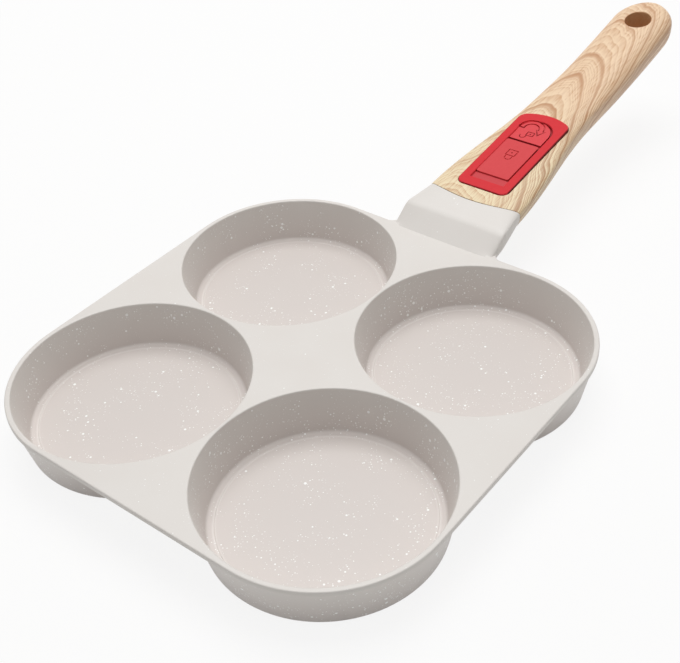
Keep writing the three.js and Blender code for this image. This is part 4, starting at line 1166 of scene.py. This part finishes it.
screw_end = BEZEL_UNDER - RUN
head_top = SCREW_SEAT - RUN
head_low = head_top - HEAD_HEIGHT
profile = []
for inset, drop in reversed(edge_steps(DOME)):
    profile.append((HEAD_RADIUS - inset * DOME_WIDE, head_low + drop * DOME_HIGH))
profile += [(HEAD_RADIUS, head_top), (SCREW_RADIUS, head_top),
            (SCREW_RADIUS, screw_end - SCREW_RADIUS), (SCREW_TIP, screw_end)]
screw = skin("screw", [circle(r, z, SCREW_FACETS, 0, BOSS_AT) for r, z in profile])
crosses = []
for a, b in ((CROSS_LONG, CROSS_WIDE), (CROSS_WIDE, CROSS_LONG)):
    crosses.append(block((-a, BOSS_AT - b, head_low - OVERLAP),
                         (a, BOSS_AT + b, head_low + CROSS_DEPTH)))
carve(screw, cuts=crosses)
settle(screw, "cross_head_screw", HANDLE, zinc, "pan", ["bezel_screw"])

# %% [markdown]
# The spring under the latch is a wire on a spiral path. A Geometry Nodes tree sweeps a circle along
# it, which follows the path better than a twisted mesh. The spring shortens when the latch tips,
# but here it is not squashed: it moves with the pan's body.

# %% Coil spring
SPRING_TURNS, TURN_STEPS, WIRE_SIDES = 4.0, 32, 12

coil_values = {"Turns": SPRING_TURNS, "Mean Radius": SPRING_RADIUS, "Wire Radius": SPRING_WIRE / 2,
               "Rise": SPRING_LENGTH - 2 * SPRING_WIRE}
coil_tree, sizes = new_tree("coil spring", coil_values)
spiral = add(coil_tree, "GeometryNodeCurveSpiral",
             {"Resolution": TURN_STEPS, "Rotations": sizes["Turns"], "Height": sizes["Rise"],
              "Start Radius": sizes["Mean Radius"], "End Radius": sizes["Mean Radius"]})
wire = add(coil_tree, "GeometryNodeCurvePrimitiveCircle",
           {"Resolution": WIRE_SIDES, "Radius": sizes["Wire Radius"]})
swept = add(coil_tree, "GeometryNodeCurveToMesh",
            {"Curve": spiral, "Profile Curve": wire, "Fill Caps": True})
close_tree(coil_tree, swept, spring_steel)

spring_low = SPRING_TOP - SPRING_LENGTH + SPRING_WIRE
spring_place = HANDLE @ Matrix.Translation((0, SPRING_AT, spring_low))
spring = grow_piece("coil_spring", coil_tree, coil_values, spring_place, "pan",
                    ["latch_spring"])
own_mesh(spring)

# %% [markdown]
# The rest of the lock sits out of sight inside the grip. Its CAD shapes are already right, so these
# nodes stay and only take a better finish.

# %% Hidden pieces of the lock
HIDDEN_FINISHES = (("slider_cam", nylon), ("cam_screw", zinc),
                   ("latch", latch_steel), ("latch_pin", latch_steel))

for node, finish in HIDDEN_FINISHES:
    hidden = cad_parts[node]
    hidden.data.materials.clear()
    hidden.data.materials.append(finish)
    print(node, "takes", finish.name)

# %% [markdown]
# The stage is a pale floor. Camera, mirror and glass rays see it almost as white, through the Light
# Path node, while a trace of its real shade is mixed in, so that the pan still stands in its own
# soft shadow. From below the camera looks through the floor, which shows the base discs.

# %% Floor
FLOOR_HALF, FLOOR_Z, FLOOR_WHITE = 3.0, -0.0004, 0.87
FLOOR_PALE = "#F2F1EF"
WHITE = (1, 1, 1, 1)


def seen_rays(tree):
    rays = add(tree, "ShaderNodeLightPath").outputs
    mirrored = add(tree, MATH, {0: rays["Is Glossy Ray"], 1: rays["Is Transmission Ray"]},
                   operation="MAXIMUM")
    return add(tree, MATH, {0: rays["Is Camera Ray"], 1: mirrored}, operation="MAXIMUM")


corners = [(x * FLOOR_HALF, y * FLOOR_HALF, FLOOR_Z) for x, y in ((-1, -1), (1, -1), (1, 1), (-1, 1))]
sheet = bpy.data.meshes.new("pale_floor")
sheet.from_pydata(corners, [], [(0, 1, 2, 3)])
floor = bpy.data.objects.new("pale_floor", sheet)
scene.collection.objects.link(floor)
# Matt painted board: no sheen, so it holds only the soft shadow.
pale, tree, shader, place = new_finish("pale floor", 0.9)
shader.inputs["Base Color"].default_value = linear(FLOOR_PALE)
shader.inputs["Specular IOR Level"].default_value = 0.0
share = add(tree, MATH, {0: seen_rays(tree), 1: FLOOR_WHITE}, operation="MULTIPLY")
white = add(tree, "ShaderNodeEmission", {"Color": WHITE, "Strength": 1.0})
pale_mix = add(tree, "ShaderNodeMixShader", {0: share, 1: shader, 2: white})
below = add(tree, "ShaderNodeNewGeometry").outputs["Backfacing"]
from_camera = add(tree, "ShaderNodeLightPath").outputs["Is Camera Ray"]
through = add(tree, MATH, {0: below, 1: from_camera}, operation="MULTIPLY")
clear = add(tree, "ShaderNodeBsdfTransparent")
one_sided = add(tree, "ShaderNodeMixShader", {0: through, 1: pale_mix, 2: clear})
tree.links.new(one_sided.outputs[0], tree.nodes["Material Output"].inputs["Surface"])
floor.data.materials.append(pale)
print("floor:", 2 * FLOOR_HALF, "m wide")

# %% [markdown]
# Light comes from a wide soft box above, as over a product table, and from a faint even world. The
# same rays that see the floor almost white see the world at full white, so the edge of the floor is
# only a faint line in a low view and the metal mirrors a bright room. The world itself lights the
# pan only faintly.

# %% Light
WORLD_LIGHT = 0.33
LAMP_SIZE, LAMP_WATTS = 1.0, 12.1
LAMP_AT, LAMP_AIM = Vector((-0.23, 0.24, 1.2)), Vector((0, -0.1, 0))

world = bpy.data.worlds.new("even light")
world.use_nodes = True
scene.world = world
sky = world.node_tree
level = add(sky, MAP_RANGE, {"Value": seen_rays(sky), "To Min": WORLD_LIGHT, "To Max": 1.0})
sky.nodes["Background"].inputs["Color"].default_value = WHITE
sky.links.new(level.outputs[0], sky.nodes["Background"].inputs["Strength"])

lamp = bpy.data.lights.new("overhead soft box", "AREA")
lamp.shape = "RECTANGLE"
lamp.size = LAMP_SIZE
lamp.size_y = LAMP_SIZE
lamp.energy = LAMP_WATTS
soft_box = bpy.data.objects.new("overhead soft box", lamp)
soft_box.location = LAMP_AT
soft_box.rotation_euler = (LAMP_AIM - LAMP_AT).to_track_quat("-Z", "Y").to_euler()
scene.collection.objects.link(soft_box)
scene.view_settings.view_transform = "Standard"
print("lamp:", lamp.energy, "W")

# %% [markdown]
# The camera stands where the photo was taken from: its angles, distance and focal length were fitted
# to the rims of the cups, the plate, the seam and the bezel, for a picture of 680 by 663 pixels.

# %% Camera
IMAGE_WIDTH = 680
FOCAL_PIXELS = 1137.983
SENSOR_WIDTH = 36.0
azimuth, elevation, roll = (math.radians(v) for v in (40.603, 38.654, -4.208))
distance, shift_right, shift_up = 436.731, 13.8, 9.277

level_way = Vector((math.sin(azimuth), -math.cos(azimuth), 0))
back = level_way * math.cos(elevation) + Vector((0, 0, math.sin(elevation)))
right = Vector((math.cos(azimuth), math.sin(azimuth), 0))
up = back.cross(right)
right_turned = math.cos(roll) * right + math.sin(roll) * up
up_turned = math.cos(roll) * up - math.sin(roll) * right
target = Vector((0, 0, PAN_TOP))
eye = PAN @ (target + back * distance + right_turned * shift_right + up_turned * shift_up)
view = bpy.data.cameras.new("photo camera")
view.sensor_width = SENSOR_WIDTH
view.lens = FOCAL_PIXELS * SENSOR_WIDTH / IMAGE_WIDTH
view.clip_start = 0.01
view.clip_end = 50.0
camera = bpy.data.objects.new("photo camera", view)
camera.matrix_world = Matrix((right_turned, up_turned, back)).transposed().to_4x4()
camera.location = eye
scene.collection.objects.link(camera)
scene.camera = camera
print("camera at", [round(v, 4) for v in eye], "lens", round(view.lens, 2), "mm")
